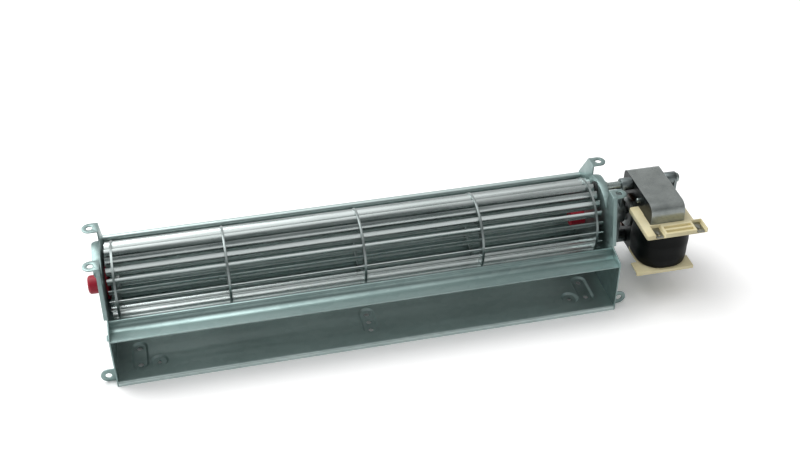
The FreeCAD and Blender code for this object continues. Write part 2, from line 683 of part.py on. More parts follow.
def build_bearing():
    """Rubber mount in the left plate and the sintered bush in it, turned about the axis."""
    wall = size("plate_thickness")
    neck = size("mount_hole") / 2 - size("seat_clearance")
    flange = size("mount_flange_diameter") / 2
    collar = size("mount_collar_diameter") / 2
    nose = size("mount_nose_diameter") / 2
    reach = size("mount_nose_reach")
    bore = size("bush_diameter") / 2 + size("seat_clearance")
    inner = size("mount_flange_thickness")
    blind = reach - size("mount_end_wall")
    collar_end = wall + size("mount_collar_thickness")
    edge = size("mount_edge")
    left = ("-Sizes.plate_gap / 2", "0", "0")
    outline = [(inner, bore), (inner, flange - edge), (inner - edge, flange), (0, flange), (0, neck),
               (-wall, neck), (-wall, collar), (edge - collar_end, collar), (-collar_end, collar - edge),
               (-collar_end, nose), (-reach, nose), (-reach, 0), (-blind, 0), (-blind, bore)]
    rounds = [0] * len(outline)
    rounds[outline.index((-reach, nose))] = size("mount_nose_round")
    turned("bearing_mount", rounded(outline, rounds), left)
    shaft = size("shaft_diameter") / 2 + size("running_clearance")
    outer = size("bush_diameter") / 2
    turned("bearing_bush", closed([(-blind, shaft), (-blind, outer), (size("bush_length") - blind, outer),
                                   (size("bush_length") - blind, shaft)]), left)


# Motor


def bracket_screw_places():
    """Long screws through both brackets and the core into the end plate, as (rearward, up)."""
    return [(0, size("screw_height")), (0, -size("screw_height"))]


def clamp_screw_places():
    """Short screws that clamp the core's sheets, as (rearward, up)."""
    return [(-size("clamp_front"), size("clamp_height")), (-size("clamp_front"), -size("screw_height"))]


CORE_AT = "Sizes.plate_gap / 2 + Sizes.plate_thickness + Sizes.core_gap"
CORE_PLACE = (CORE_AT, "0", "0")
COIL_TOP = "Sizes.core_height / 2 - Sizes.core_limb"
COIL_BOTTOM = "Sizes.core_lower_limb - Sizes.core_height / 2"
COIL_HEIGHT = "Sizes.core_height - Sizes.core_limb - Sizes.core_lower_limb"


def core_outline():
    half = size("core_height") / 2
    front, rear = -size("core_front"), size("core_rear")
    front_round, rear_round = size("core_front_round"), size("core_rear_round")
    tail = size("core_tail_radius")
    waist = math.sqrt(tail ** 2 - rear ** 2)
    limb, lower_limb = half - size("core_limb"), half - size("core_lower_limb")
    mouth = -(size("rotor_diameter") / 2 + size("air_gap") + size("core_bridge"))
    swing = math.degrees(math.atan2(waist, rear))
    upper = [line((mouth, limb), (front, limb)), line((front, limb), (front, half - front_round)),
             arc((front + front_round, half - front_round), front_round, 180, 90),
             line((front + front_round, half), (rear - rear_round, half)),
             arc((rear - rear_round, half - rear_round), rear_round, 90, 0),
             line((rear, half - rear_round), (rear, waist))]
    lower = [line((mouth, -lower_limb), (front, -lower_limb)),
             line((front, -lower_limb), (front, front_round - half)),
             arc((front + front_round, front_round - half), front_round, 180, 270),
             line((front + front_round, -half), (rear - rear_round, -half)),
             arc((rear - rear_round, rear_round - half), rear_round, -90, 0),
             line((rear, rear_round - half), (rear, -waist))]
    return upper + lower + [arc((0, 0), tail, swing, -swing), line((mouth, limb), (mouth, -lower_limb))]


def shading_places(clearance):
    """Sections of the copper bars where they pass through the core."""
    bar = size("shading_bar")
    near, far = size("shading_start"), size("shading_start") + size("shading_width")
    outlines = []
    for side in (-1, 1):
        height = -side * size("shading_height")
        for middle in (near + bar / 2, far - bar / 2):
            low = (side * middle - bar / 2 - clearance, height - bar / 2 - clearance)
            high = (side * middle + bar / 2 + clearance, height + bar / 2 + clearance)
            outlines += rectangle(low, high)
    return outlines


def build_core():
    body = new_body("stator_stack", CORE_PLACE)
    pad(body, "YZ_Plane", core_outline(), "Sizes.core_thickness")
    holes = circle((0, 0), size("rotor_diameter") + 2 * size("air_gap"))
    holes += shading_places(size("seat_clearance"))
    for place in bracket_screw_places() + clamp_screw_places():
        holes += circle(place, size("screw_hole"))
    pocket(body, "YZ_Plane", holes)
    bar = new_body("core_bar", CORE_PLACE)
    half, front = size("core_height") / 2, -size("core_front")
    leg = rectangle((front, size("core_lower_limb") - half),
                    (front + size("core_leg"), half - size("core_limb")))
    pad(bar, "YZ_Plane", leg, "Sizes.core_thickness")
    rings = []
    near, far = size("shading_start"), size("shading_start") + size("shading_width")
    thick = size("shading_bar")
    for side, name in ((-1, "upper"), (1, "lower")):
        ring = new_body(f"shading_{name}", CORE_PLACE, node=False)
        low, high = sorted((side * near, side * far))
        outer = rectangle((-thick, low), (size("core_thickness") + thick, high))
        inner = rectangle((0, low + thick), (size("core_thickness"), high - thick))
        height = f"{-side} * Sizes.shading_height"
        pad(ring, "XY_Plane", outer + inner, "Sizes.shading_bar", height, midplane=True)
        rings.append(ring)
    group("shading_rings", rings)


def build_rotor():
    half = size("rotor_diameter") / 2
    bore = size("shaft_diameter") / 2 + size("seat_clearance")
    length, ring = size("core_thickness"), size("end_ring_thickness")
    turned("motor_rotor", closed([(0, bore), (0, half), (length, half), (length, bore)]), CORE_PLACE)
    inner, outer = size("end_ring_bore") / 2, half - size("end_ring_step")
    rings = [turned(f"end_ring_{name}", rectangle((start, inner), (start + ring, outer)), CORE_PLACE, False)
             for name, start in (("near", -ring), ("far", length))]
    group("rotor_end_rings", rings)
    axle = size("shaft_diameter") / 2
    hub_start = size("impeller_length") / 2 - size("disc_thickness") / 2 - size("hub_inner_length")
    core_start = size("plate_gap") / 2 + size("plate_thickness") + size("core_gap")
    far_end = core_start + length + size("cup_stand") + size("cup_length") - size("shaft_recess")
    turned("motor_shaft", rectangle((hub_start, 0), (far_end, axle)))


def build_bracket(label, side, at):
    """Cast bar on two bosses on one face of the core, with a cup for the bush in its middle."""
    place, leftward = (at, "0", "0"), side < 0
    body = new_body(label, place)
    screws = bracket_screw_places()
    pad(body, "YZ_Plane", stadium(*reversed(screws), size("boss_diameter") / 2), "Sizes.bar_thickness",
        f"{side} * Sizes.bar_stand", reverse=leftward)
    for screw in screws:
        pad(body, "YZ_Plane", circle(screw, size("boss_diameter")), "Sizes.bar_stand + Sizes.bar_thickness",
            reverse=leftward)
    pad(body, "YZ_Plane", circle((0, 0), size("cup_diameter")), "Sizes.cup_length",
        f"{side} * Sizes.cup_stand", reverse=leftward)
    holes = circle((0, 0), size("motor_bush_diameter") + 2 * size("seat_clearance"))
    for screw in screws:
        holes += circle(screw, size("screw_hole"))
    pocket(body, "YZ_Plane", holes)
    stand = size("cup_stand")
    start, end = sorted((side * stand, side * (stand + size("motor_bush_length"))))
    shaft = size("shaft_diameter") / 2 + size("running_clearance")
    outer = size("motor_bush_diameter") / 2
    turned(label.replace("bracket", "bush"), rectangle((start, shaft), (end, outer)), place)


def pan_head_screw(label, length, at):
    """Screw along X, its head at the right end."""
    shank, head, high = size("screw_diameter") / 2, size("screw_head_diameter") / 2, size("screw_head_height")
    edge = size("screw_edge")
    outline = [(-length, 0), (-length, shank - edge), (edge - length, shank), (0, shank), (0, head),
               (high - 2 * edge, head), (high, head - 2 * edge), (high, 0)]
    return turned(label, closed(outline), at, node=False)


def build_screws():
    """Two bracket screws right through to the grommets in the end plate, and two clamp screws."""
    core_end = size("plate_gap") / 2 + size("plate_thickness") + size("core_gap") + size("core_thickness")
    tip = size("plate_gap") / 2 - size("grommet_inner") / 2
    bracket_length = core_end + size("bar_stand") + size("bar_thickness") - tip
    clamp_length = size("core_thickness") + size("clamp_tip")
    core_face = f"{CORE_AT} + Sizes.core_thickness"
    boss_face = f"{core_face} + Sizes.bar_stand + Sizes.bar_thickness"
    group("bracket_screws", [pan_head_screw(f"bracket_screw_{i}", bracket_length, (boss_face, str(y), str(z)))
                             for i, (y, z) in enumerate(bracket_screw_places(), start=1)])
    group("clamp_screws", [pan_head_screw(f"clamp_screw_{i}", clamp_length, (core_face, str(y), str(z)))
                           for i, (y, z) in enumerate(clamp_screw_places(), start=1)])


def build_spacers():
    """On each bracket screw a rubber grommet in the end plate, a nut and a sleeve up to the bracket."""
    wall = size("plate_thickness")
    bore = size("screw_diameter") / 2 + size("seat_clearance")
    outer, neck = size("grommet_diameter") / 2, size("grommet_hole") / 2 - size("seat_clearance")
    edge = size("grommet_edge")
    inner_end, outer_end = -size("grommet_inner"), wall + size("grommet_outer")
    rubber = [(inner_end, bore), (inner_end, outer), (0, outer), (0, neck), (wall, neck), (wall, outer),
              (outer_end - edge, outer), (outer_end, outer - edge), (outer_end, bore)]
    sleeve_start = outer_end + size("nut_height")
    sleeve_end = wall + size("core_gap") - size("bar_stand") - size("bar_thickness")
    tube = rectangle((sleeve_start, bore), (sleeve_end, size("sleeve_diameter") / 2))
    corner_radius = size("nut_width") / math.sqrt(3)
    hexagon = closed([on_circle((0, 0), corner_radius, 60 * k) for k in range(6)])
    grommets, nuts, sleeves = [], [], []
    for i, (y, z) in enumerate(bracket_screw_places(), start=1):
        at = ("Sizes.plate_gap / 2", str(y), str(z))
        grommets.append(turned(f"grommet_{i}", closed(rubber), at, node=False))
        nut = new_body(f"nut_{i}", at, node=False)
        pad(nut, "YZ_Plane", hexagon + circle((0, 0), 2 * bore), "Sizes.nut_height",
            "Sizes.plate_thickness + Sizes.grommet_outer")
        nuts.append(nut)
        sleeves.append(turned(f"sleeve_{i}", tube, at, node=False))
    group("plate_grommets", grommets)
    group("grommet_nuts", nuts)
    group("spacer_sleeves", sleeves)


def build_coil():
    """Bobbin and taped winding on the core's leg."""
    side = size("winding_side")
    spare = size("tube_clearance")
    leg_front, leg_rear = -size("core_front"), -size("core_front") + size("core_leg")
    mouth = -(size("rotor_diameter") / 2 + size("air_gap") + size("core_bridge"))
    over = size("flange_overhang")
    length = size("core_thickness")
    low = (-side, leg_front - size("winding_front"))
    high = (length + side, mouth - over - size("flange_clearance"))
    bobbin = new_body("coil_bobbin", CORE_PLACE)
    tube_low = (-spare - size("tube_wall"), leg_front - spare - size("tube_wall"))
    tube_high = (length + spare + size("tube_wall"), leg_rear + spare + size("tube_wall"))
    near, far = (low[0] - over, low[1] - over), (high[0] + over, high[1] + over)
    left = near[0] - size("lower_flange_reach")
    pad(bobbin, "XY_Plane", rectangle(tube_low, tube_high), COIL_HEIGHT, COIL_BOTTOM)
    pad(bobbin, "XY_Plane", flange_outline(near, far), "Sizes.flange_thickness",
        f"{COIL_TOP} - Sizes.flange_thickness")
    for outline in (winding_outline(low, high),
                    rectangle((left, near[1]), (far[0], near[1] + size("lower_flange_depth")))):
        pad(bobbin, "XY_Plane", outline, "Sizes.lower_flange", COIL_BOTTOM)
    apron = rectangle((left, near[1]), (far[0], near[1] + size("apron_thickness")))
    pad(bobbin, "XY_Plane", apron, "Sizes.apron_height", COIL_BOTTOM, reverse=True)
    pocket(bobbin, "XY_Plane", rectangle((-spare, leg_front - spare), (length + spare, leg_rear + spare)))
    cut_troughs(bobbin, near[1])
    build_terminals(bobbin, near[1], leg_front - size("terminal_root"))
    winding = new_body("coil_winding", CORE_PLACE)
    pad(winding, "XY_Plane", winding_outline(low, high) + rectangle(tube_low, tube_high),
        COIL_HEIGHT + " - Sizes.flange_thickness - Sizes.lower_flange", COIL_BOTTOM + " + Sizes.lower_flange")


def winding_outline(low, high):
    front_round, rear_round = size("winding_round"), size("winding_round") / 2
    return rounded([low, (high[0], low[1]), high, (low[0], high[1])],
                   [front_round, front_round, rear_round, rear_round])


def flange_outline(near, far):
    return rounded([near, (far[0], near[1]), far, (near[0], far[1])], [size("flange_round")] * 4)


def cut_troughs(bobbin, front):
    """Two troughs between the terminals, along the front of the upper flange."""
    troughs = []
    middle = (size("terminal_left_place") + size("terminal_right_place")) / 2
    start, end = middle - size("trough_length") / 2, middle + size("trough_length") / 2
    for row in (0, 1):
        across = front + size("trough_rim") + row * (size("trough_width") + size("trough_rim"))
        troughs += rectangle((start, across), (end, across + size("trough_width")))
    pocket(bobbin, "XY_Plane", troughs, "Sizes.trough_depth", COIL_TOP)


def build_terminals(bobbin, front, root):
    """Spade terminals, each on the floor of a pocket that is open to the front."""
    across, rim = size("terminal_pocket") / 2, size("pocket_rim")
    terminals = []
    for name in ("left", "right"):
        middle = size(f"terminal_{name}_place")
        block = rectangle((middle - across - rim, front), (middle + across + rim, root + rim))
        pad(bobbin, "XY_Plane", block, "Sizes.flange_thickness", f"{COIL_TOP} - Sizes.flange_thickness")
        pocket(bobbin, "XY_Plane", rectangle((middle - across, front), (middle + across, root)),
               "Sizes.terminal_sink + Sizes.terminal_thickness", COIL_TOP)
        body = new_body(f"terminal_{name}", CORE_PLACE, False)
        half = size("terminal_width") / 2
        tip = root - size("terminal_length")
        left, right = middle - half, middle + half
        blade = rounded([(left, tip), (right, tip), (right, root), (left, root)],
                        [size("terminal_round")] * 2 + [0, 0])
        hole = circle((middle, tip + size("terminal_hole_place")), size("terminal_hole"))
        pad(body, "XY_Plane", blade + hole, "Sizes.terminal_thickness",
            f"{COIL_TOP} - Sizes.terminal_sink - Sizes.terminal_thickness")
        terminals.append(body)
    group("terminals", terminals)


def build_motor():
    build_core()
    build_rotor()
    build_bracket("motor_bracket_inner", -1, CORE_AT)
    build_bracket("motor_bracket_outer", 1, CORE_AT + " + Sizes.core_thickness")
    build_screws()
    build_spacers()
    build_coil()


def move_origin():
    """Origin to the middle of the box around all nodes, on the surface that they stand on."""
    box = FreeCAD.BoundBox()
    for node in NODES:
        box.add(node.Shape.BoundBox)
    shift = {"x": -(box.XMin + box.XMax) / 2, "y": -(box.YMin + box.YMax) / 2, "z": -box.ZMin}
    for letter, value in shift.items():
        sheet.set(f"origin_{letter}", repr(value))
    doc.recompute()
    return shift


def check_model():
    for item in doc.Objects:
        if "Invalid" in item.State or "Error" in item.State:
            raise RuntimeError(f"{item.Name} ({item.Label}) failed: {item.State}")
    for node in NODES:
        if node.Shape.isNull() or not node.Shape.isValid():
            raise RuntimeError(f"{node.Label} has no valid shape")


build_impeller()
build_casing()
build_motor()
doc.recompute()
check_model()
print("origin moved by", move_origin())
check_model()
os.makedirs("parts", exist_ok=True)
for node in NODES:
    node.Shape.exportStep(f"parts/{node.Label}.step")
    print(f"{node.Label}: {len(node.Shape.Solids)} solids, {node.Shape.Volume:.1f} mm3")
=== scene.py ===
# %% [markdown]
# # A cross flow fan, dressed for a studio picture
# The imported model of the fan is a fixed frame: its sheets, drum, shaft and motor already have their
# sizes and places. This script gives every one of those solids a finish, remakes the ones whose
# charm is in their edges, and then lights and frames them as a catalogue picture would.

import json
import math

import bmesh
import bpy
from mathutils import Matrix, Vector


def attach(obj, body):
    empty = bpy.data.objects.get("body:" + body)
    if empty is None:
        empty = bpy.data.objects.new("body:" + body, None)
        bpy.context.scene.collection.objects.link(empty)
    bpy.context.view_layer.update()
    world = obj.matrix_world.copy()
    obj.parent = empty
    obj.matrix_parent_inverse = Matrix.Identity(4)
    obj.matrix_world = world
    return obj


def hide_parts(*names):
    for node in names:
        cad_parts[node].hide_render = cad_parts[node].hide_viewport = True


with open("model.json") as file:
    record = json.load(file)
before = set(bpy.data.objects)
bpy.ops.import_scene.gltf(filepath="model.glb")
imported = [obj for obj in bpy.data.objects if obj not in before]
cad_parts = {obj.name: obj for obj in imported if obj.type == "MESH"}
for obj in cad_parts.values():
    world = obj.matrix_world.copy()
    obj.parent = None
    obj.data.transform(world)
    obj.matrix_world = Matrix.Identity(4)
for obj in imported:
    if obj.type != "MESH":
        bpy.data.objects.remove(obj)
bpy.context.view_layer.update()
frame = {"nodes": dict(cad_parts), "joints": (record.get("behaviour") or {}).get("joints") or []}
AXIS = Vector(frame["joints"][0]["pos_m"])
MM = 0.001

# %% [markdown]
# The drum's axis is the fan's own datum, so a drawing of the fan gives sizes from it: along X, to the
# rear for Y and up for Z. One small function turns such a place in millimetres into the frame. Another
# one makes an object of a mesh, a lamp or a camera, which only shows once the scene's list has it.


# %% A place measured from the drum's axis
def from_axis(x, y, z):
    return AXIS + Vector((x, y, z)) * MM


def new_object(name, data):
    thing = bpy.data.objects.new(name, data)
    bpy.context.scene.collection.objects.link(thing)
    return thing


print("drum axis at", tuple(round(value, 5) for value in AXIS))

# %% [markdown]
# Colours are given as sRGB hex codes, but a shader works in linear light. One function does
# that step for every colour. A second one adds a node of any kind, sets its options, and fills or links
# its inputs, and both shader trees and geometry trees are built with it.


# %% Colours and nodes
def linear(code):
    channels = [int(code[i:i + 2], 16) / 255 for i in (1, 3, 5)]
    return tuple(c / 12.92 if c <= 0.04045 else ((c + 0.055) / 1.055) ** 2.4 for c in channels) + (1.0,)


def add(tree, kind, inputs=None, **settings):
    """A node whose inputs are values, sockets, nodes (by their first output) or lists of nodes."""
    node = tree.nodes.new(kind)
    for name, value in settings.items():
        setattr(node, name, value)
    for name, value in (inputs or {}).items():
        for item in value if isinstance(value, list) else [value]:
            source = item.outputs[0] if isinstance(item, bpy.types.Node) else item
            if isinstance(source, bpy.types.NodeSocket):
                tree.links.new(source, node.inputs[name])
            else:
                node.inputs[name].default_value = source
    return node


print("zinc grey in linear light:", [round(c, 3) for c in linear("#A3B8B4")])

# %% [markdown]
# Every finish starts the same way: a Principled shader, and the piece's own Object coordinates. It also
# ends the same way. One pattern mixes a dark and a light tone, another gives the relief, and a third
# the roughness where that varies. A Mix node has A and B once for every kind of value, so its colour
# sockets are taken by number.


# %% The start and the end of a finish
MIX_DARK, MIX_LIGHT, MIX_COLOUR = 6, 7, 2


def empty_material(name):
    material = bpy.data.materials.new(name)
    material.use_nodes = True
    material.node_tree.nodes.clear()
    return material, material.node_tree


def new_finish(name, **shader_inputs):
    material, tree = empty_material(name)
    shader = add(tree, "ShaderNodeBsdfPrincipled", shader_inputs)
    add(tree, "ShaderNodeOutputMaterial", {"Surface": shader})
    return material, tree, shader, add(tree, "ShaderNodeTexCoord").outputs["Object"]


def dress(tree, shader, tone, dark, light, height, depth_mm, strength, gloss=None):
    colour = add(tree, "ShaderNodeMix", {"Factor": tone, MIX_DARK: dark, MIX_LIGHT: light},
                 data_type="RGBA")
    relief = add(tree, "ShaderNodeBump", {"Height": height, "Distance": depth_mm * MM,
                                          "Strength": strength})
    tree.links.new(colour.outputs[MIX_COLOUR], shader.inputs["Base Color"])
    tree.links.new(relief.outputs["Normal"], shader.inputs["Normal"])
    if gloss:
        tree.links.new(gloss.outputs["Result"], shader.inputs["Roughness"])


print("colour sockets of a Mix node:", MIX_DARK, MIX_LIGHT, MIX_COLOUR)

# %% [markdown]
# ## The casing: hot-dip galvanised steel
# Galvanised sheet is a zinc crystal skin on steel. Skin-passed sheet shows faint spangle, a few
# millimetres across, as patches that differ a little in grey and in gloss, and rolling leaves a
# fine grain along the sheet. Voronoi cells make the spangle and stretched noise the grain. A Mapping
# node with a small scale along X stretches a pattern that way. The scroll gets a lighter copy of the
# same finish, which is painted light: it lifts the shaded inside of the outlet that the scroll lines.

# %% Galvanised sheet
SPANGLE, GRAIN, SMUDGE = 4, 1.6, 30     # mm


def zinc_skin(name, dark, light):
    material, tree, shader, place = new_finish(name, Metallic=0.85, Roughness=0.42)
    crystals, rolled, handled = (
        add(tree, "ShaderNodeMapping", {"Vector": place, "Scale": (stretch, 1, 1)})
        for stretch in (0.6, 0.06, 0.4))
    cells = add(tree, "ShaderNodeTexVoronoi", {"Vector": crystals, "Scale": 1 / (SPANGLE * MM)})
    grey = add(tree, "ShaderNodeSeparateColor", {"Color": cells.outputs["Color"]})
    grain = add(tree, "ShaderNodeTexNoise", {"Vector": rolled, "Scale": 1 / (GRAIN * MM), "Detail": 3})
    smudge = add(tree, "ShaderNodeTexNoise", {"Vector": handled, "Scale": 1 / (SMUDGE * MM),
                                              "Detail": 2})
    patches = add(tree, "ShaderNodeMath", {0: grey, 1: 0.25, 2: smudge}, operation="MULTIPLY_ADD")
    spread = {"Value": patches, "From Min": 0.3, "From Max": 1.0}
    tone = add(tree, "ShaderNodeMapRange", spread)
    gloss = add(tree, "ShaderNodeMapRange", {**spread, "To Min": 0.45, "To Max": 0.35})
    dress(tree, shader, tone, linear(dark), linear(light), grain, 0.03, 0.35, gloss)
    return material


galvanised = zinc_skin("galvanised_sheet_steel", "#829795", "#9AAEAC")
# A lighter copy of the same sheet for the scroll: painted light for its shaded outlet.
zinc_painted_lighter = zinc_skin("galvanised_sheet_steel_painted_lighter", "#BACBC9", "#D0DEDC")
print("two galvanised sheets, spangle", SPANGLE, "mm")

# %% [markdown]
# ## The drum: rolled aluminium
# The blades are thin aluminium strip, rolled bright and never painted. What the eye sees is the
# room, drawn out into long streaks, because each strip is a little wavy along its length. The
# roughness stays low, a noise stretched twenty times along X gives the streaks, and a broader one
# the waviness.

# %% Bright rolled aluminium
STREAK, WAVE = 3, 14    # mm
aluminium, tree, shader, place = new_finish("rolled_aluminium", Metallic=1.0, Roughness=0.2)
drawn_out = add(tree, "ShaderNodeMapping", {"Vector": place, "Scale": (0.05, 1, 1)})
wavy = add(tree, "ShaderNodeMapping", {"Vector": place, "Scale": (0.3, 1, 1)})
streaks = add(tree, "ShaderNodeTexNoise", {"Vector": drawn_out, "Scale": 1 / (STREAK * MM), "Detail": 3})
waves = add(tree, "ShaderNodeTexNoise", {"Vector": wavy, "Scale": 1 / (WAVE * MM), "Detail": 1})
gloss = add(tree, "ShaderNodeMapRange", {"Value": streaks, "From Min": 0.3, "From Max": 0.7,
                                         "To Min": 0.22, "To Max": 0.36})
dress(tree, shader, streaks, linear("#A6B2B0"), linear("#DCE2E1"), waves, 0.6, 0.5, gloss)
print(aluminium.name, len(tree.nodes), "nodes")

# %% [markdown]
# ## Shaft steel, zinc, sintered bronze, copper, tin
# The small metal pieces share one recipe and differ in colour, gloss and grain. Ground shaft steel
# has fine rings round it, zinc plate is pale and slightly blue, sintered bronze is dull and pitted,
# and tinned brass is soft and grey. Stamped aluminium rings are duller than the rolled blades, the
# copper is drawn a dark brown, and die-cast zinc brackets are a dark, even grey. One call a metal keeps
# the lesson short.


# %% The small metals
def plain_metal(name, dark, light, roughness, grain_mm, depth_mm, stretch=(1, 1, 1)):
    material, tree, shader, place = new_finish(name, Metallic=1.0)
    stretched = add(tree, "ShaderNodeMapping", {"Vector": place, "Scale": stretch})
    marks = add(tree, "ShaderNodeTexNoise", {"Vector": stretched, "Scale": 1 / (grain_mm * MM),
                                             "Detail": 3})
    gloss = add(tree, "ShaderNodeMapRange", {"Value": marks, "From Min": 0.3, "From Max": 0.7,
                                             "To Min": roughness - 0.05, "To Max": roughness + 0.06})
    dress(tree, shader, marks, linear(dark), linear(light), marks, depth_mm, 0.5, gloss)
    return material


ground_steel = plain_metal("ground_shaft_steel", "#8F9292", "#C6C9C8", 0.24, 0.6, 0.01, (6, 0.3, 0.3))
stamped_ring = plain_metal("stamped_aluminium", "#889190", "#A9B2B1", 0.42, 1.0, 0.01)
zinc_plate = plain_metal("zinc_plated_steel", "#8B9694", "#B4BEBB", 0.3, 1.2, 0.01)
sintered_bronze = plain_metal("sintered_bronze", "#6F5128", "#A9824A", 0.5, 0.35, 0.03)
cast_aluminium = plain_metal("die_cast_aluminium", "#8E9493", "#BFC4C3", 0.45, 0.9, 0.04)
copper = plain_metal("dark_brown_copper", "#3E2C24", "#5E4436", 0.4, 1.0, 0.01)
tinned_brass = plain_metal("tinned_brass", "#8E8E84", "#A9A99E", 0.34, 4.0, 0.01)
cast_zinc = plain_metal("die_cast_zinc", "#6E7778", "#919A9A", 0.42, 1.4, 0.03)
print("eight small metals")

# %% [markdown]
# ## The motor's core: electrical steel sheets
# The core is a stack of half-millimetre sheets, pressed from bare electrical steel and varnished. From
# above, the pale cut edges of the sheets draw fine lines across the stack. Real sheets are too thin to
# show at this size, so the lines are drawn one millimetre apart. The pressed faces look along X and are
# dark with varnish, so the tone follows the surface's own normal. A wave repeats every 2 pi / 20 of its
# scale, and that number turns a real spacing into a scale.

# %% Electrical steel
WAVE_LENGTH, SHEET_PITCH, STAIN = 2 * math.pi / 20, 1.0, 9.0    # the last two in mm
core_steel, tree, shader, place = new_finish("varnished_electrical_steel", Metallic=0.9, Roughness=0.34)
edges = add(tree, "ShaderNodeTexWave", {"Vector": place, "Scale": WAVE_LENGTH / (SHEET_PITCH * MM),
                                        "Distortion": 0.3, "Detail": 1}, bands_direction="X")
stains = add(tree, "ShaderNodeTexNoise", {"Vector": place, "Scale": 1 / (STAIN * MM), "Detail": 3})
marks = add(tree, "ShaderNodeMath", {0: edges.outputs["Fac"], 1: 0.12, 2: stains},
            operation="MULTIPLY_ADD")
tone = add(tree, "ShaderNodeMapRange", {"Value": marks, "From Min": 0.2, "From Max": 0.9})
cut = add(tree, "ShaderNodeMix", {"Factor": tone, MIX_DARK: linear("#8C9391"),
                                  MIX_LIGHT: linear("#B0B6B4")}, data_type="RGBA")
normal = add(tree, "ShaderNodeNewGeometry").outputs["Normal"]
along_x = add(tree, "ShaderNodeSeparateXYZ", {"Vector": normal})
sideways = add(tree, "ShaderNodeMath", {0: along_x}, operation="ABSOLUTE")
face = add(tree, "ShaderNodeMapRange", {"Value": sideways, "From Min": 0.6, "From Max": 0.9})
dress(tree, shader, face, cut.outputs[MIX_COLOUR], linear("#1B2122"), edges.outputs["Fac"], 0.05, 0.25)
print(core_steel.name, len(tree.nodes), "nodes, lines", SHEET_PITCH, "mm apart")

# %% [markdown]
# ## Rubber and nylon
# The bearing sits in red silicone rubber, which is satin, and the grommets are black nitrile rubber,
# which is matt. The coil's bobbin is natural nylon, cream with a soft gloss. Moulded surfaces have
# no grain of their own, only a faint unevenness in tone and height.


# %% The moulded finishes
def moulded(name, dark, light, roughness, grain_mm, depth_mm, ior):
    material, tree, shader, place = new_finish(name, Roughness=roughness, IOR=ior)
    marks = add(tree, "ShaderNodeTexNoise", {"Vector": place, "Scale": 1 / (grain_mm * MM), "Detail": 3})
    dress(tree, shader, marks, linear(dark), linear(light), marks, depth_mm, 0.4)
    return material


red_rubber = moulded("red_silicone_rubber", "#8E1226", "#B01C33", 0.42, 3.0, 0.04, 1.41)
black_rubber = moulded("black_nitrile_rubber", "#0C0F0F", "#1B2020", 0.6, 1.0, 0.03, 1.52)
nylon = moulded("natural_nylon", "#DACD9D", "#EFE7C4", 0.4, 12.0, 0.02, 1.53)
print("two rubbers and nylon")

# %% [markdown]
# ## Varnished tape
# The copper turns of the coil are wrapped in black tape, soaked in varnish. It takes in nearly all
# light, and the edge of each turn shows only as a faint step, so a saw-tooth wave gives the relief.

# %% Black tape
TAPE_WIDTH = 12     # mm
VARNISH = {"Roughness": 0.42, "IOR": 1.35, "Specular IOR Level": 0.2}
tape, tree, shader, place = new_finish("black_varnished_tape", **VARNISH)
turns = add(tree, "ShaderNodeTexWave", {"Vector": place, "Scale": WAVE_LENGTH / (TAPE_WIDTH * MM),
                                        "Distortion": 1.2, "Detail": 2},
            bands_direction="Z", wave_profile="SAW").outputs["Fac"]
dress(tree, shader, turns, linear("#050707"), linear("#0A0D0D"), turns, 0.12, 0.4)
print(tape.name, len(tree.nodes), "nodes")

# %% [markdown]
# Every solid of the frame now takes its finish. A table from finish to solids keeps the choice in one
# place, and a check at the end makes sure that no solid was forgotten.

# %% Finish every solid
FINISHES = {
    galvanised: ["vortex_tongue", "end_plate_left", "end_plate_right"],
    # the scroll's lighter copy is painted light for the shaded outlet
    zinc_painted_lighter: ["scroll_housing"],
    aluminium: ["impeller_blades"],
    stamped_ring: ["ring_left", "ring_middle", "ring_right", "end_disc_left", "end_disc_right"],
    ground_steel: ["stub_axle", "motor_shaft"],
    zinc_plate: ["bracket_screws", "clamp_screws", "grommet_nuts", "spacer_sleeves"],
    sintered_bronze: ["bearing_bush", "motor_bush_inner", "motor_bush_outer"],
    cast_aluminium: ["rotor_end_rings"],
    copper: ["shading_rings"],
    tinned_brass: ["terminals"],
    core_steel: ["stator_stack", "core_bar", "motor_rotor"],
    red_rubber: ["bearing_mount", "coupling_hub"],
    black_rubber: ["plate_grommets"],
    nylon: ["coil_bobbin"],
    cast_zinc: ["motor_bracket_inner", "motor_bracket_outer"],
    tape: ["coil_winding"],
}
for material, names in FINISHES.items():
    for name in names:
        frame["nodes"][name].data.materials.clear()
        frame["nodes"][name].data.materials.append(material)
forgotten = set(frame["nodes"]) - {name for names in FINISHES.values() for name in names}
print("without a finish:", sorted(forgotten))

# %% [markdown]
# ## Trees that grow pieces
# What repeats is grown by a geometry tree, with its sizes as named inputs. Every tree ends by making
# its instances real and putting the finish on. The blades and the core's sheets are flat shapes made
# thick: the shape is extruded, and a turned-over copy of it closes the open side.

# %% A geometry tree with named inputs
SOCKETS = {int: "NodeSocketInt", float: "NodeSocketFloat", Vector: "NodeSocketVector"}
MERGE = 1e-7    # metres; points nearer than this are one point


def new_tree(name, sizes):
    tree = bpy.data.node_groups.new(name, "GeometryNodeTree")
    for way in ("OUTPUT", "INPUT"):
        tree.interface.new_socket("Geometry", in_out=way, socket_type="NodeSocketGeometry")
    for label, value in sizes.items():
        kind = SOCKETS.get(type(value), "NodeSocketMaterial")
        tree.interface.new_socket(label, in_out="INPUT", socket_type=kind)
    return tree, tree.nodes.new("NodeGroupInput").outputs


def thickened(tree, shape, thickness):
    raised = add(tree, "GeometryNodeExtrudeMesh", {"Mesh": shape, "Offset Scale": thickness,
                                                   "Individual": False}, mode="FACES")
    under = add(tree, "GeometryNodeFlipFaces", {"Mesh": shape})
    both = add(tree, "GeometryNodeJoinGeometry", {"Geometry": [raised, under]})
    return add(tree, "GeometryNodeMergeByDistance", {"Geometry": both, "Distance": MERGE})


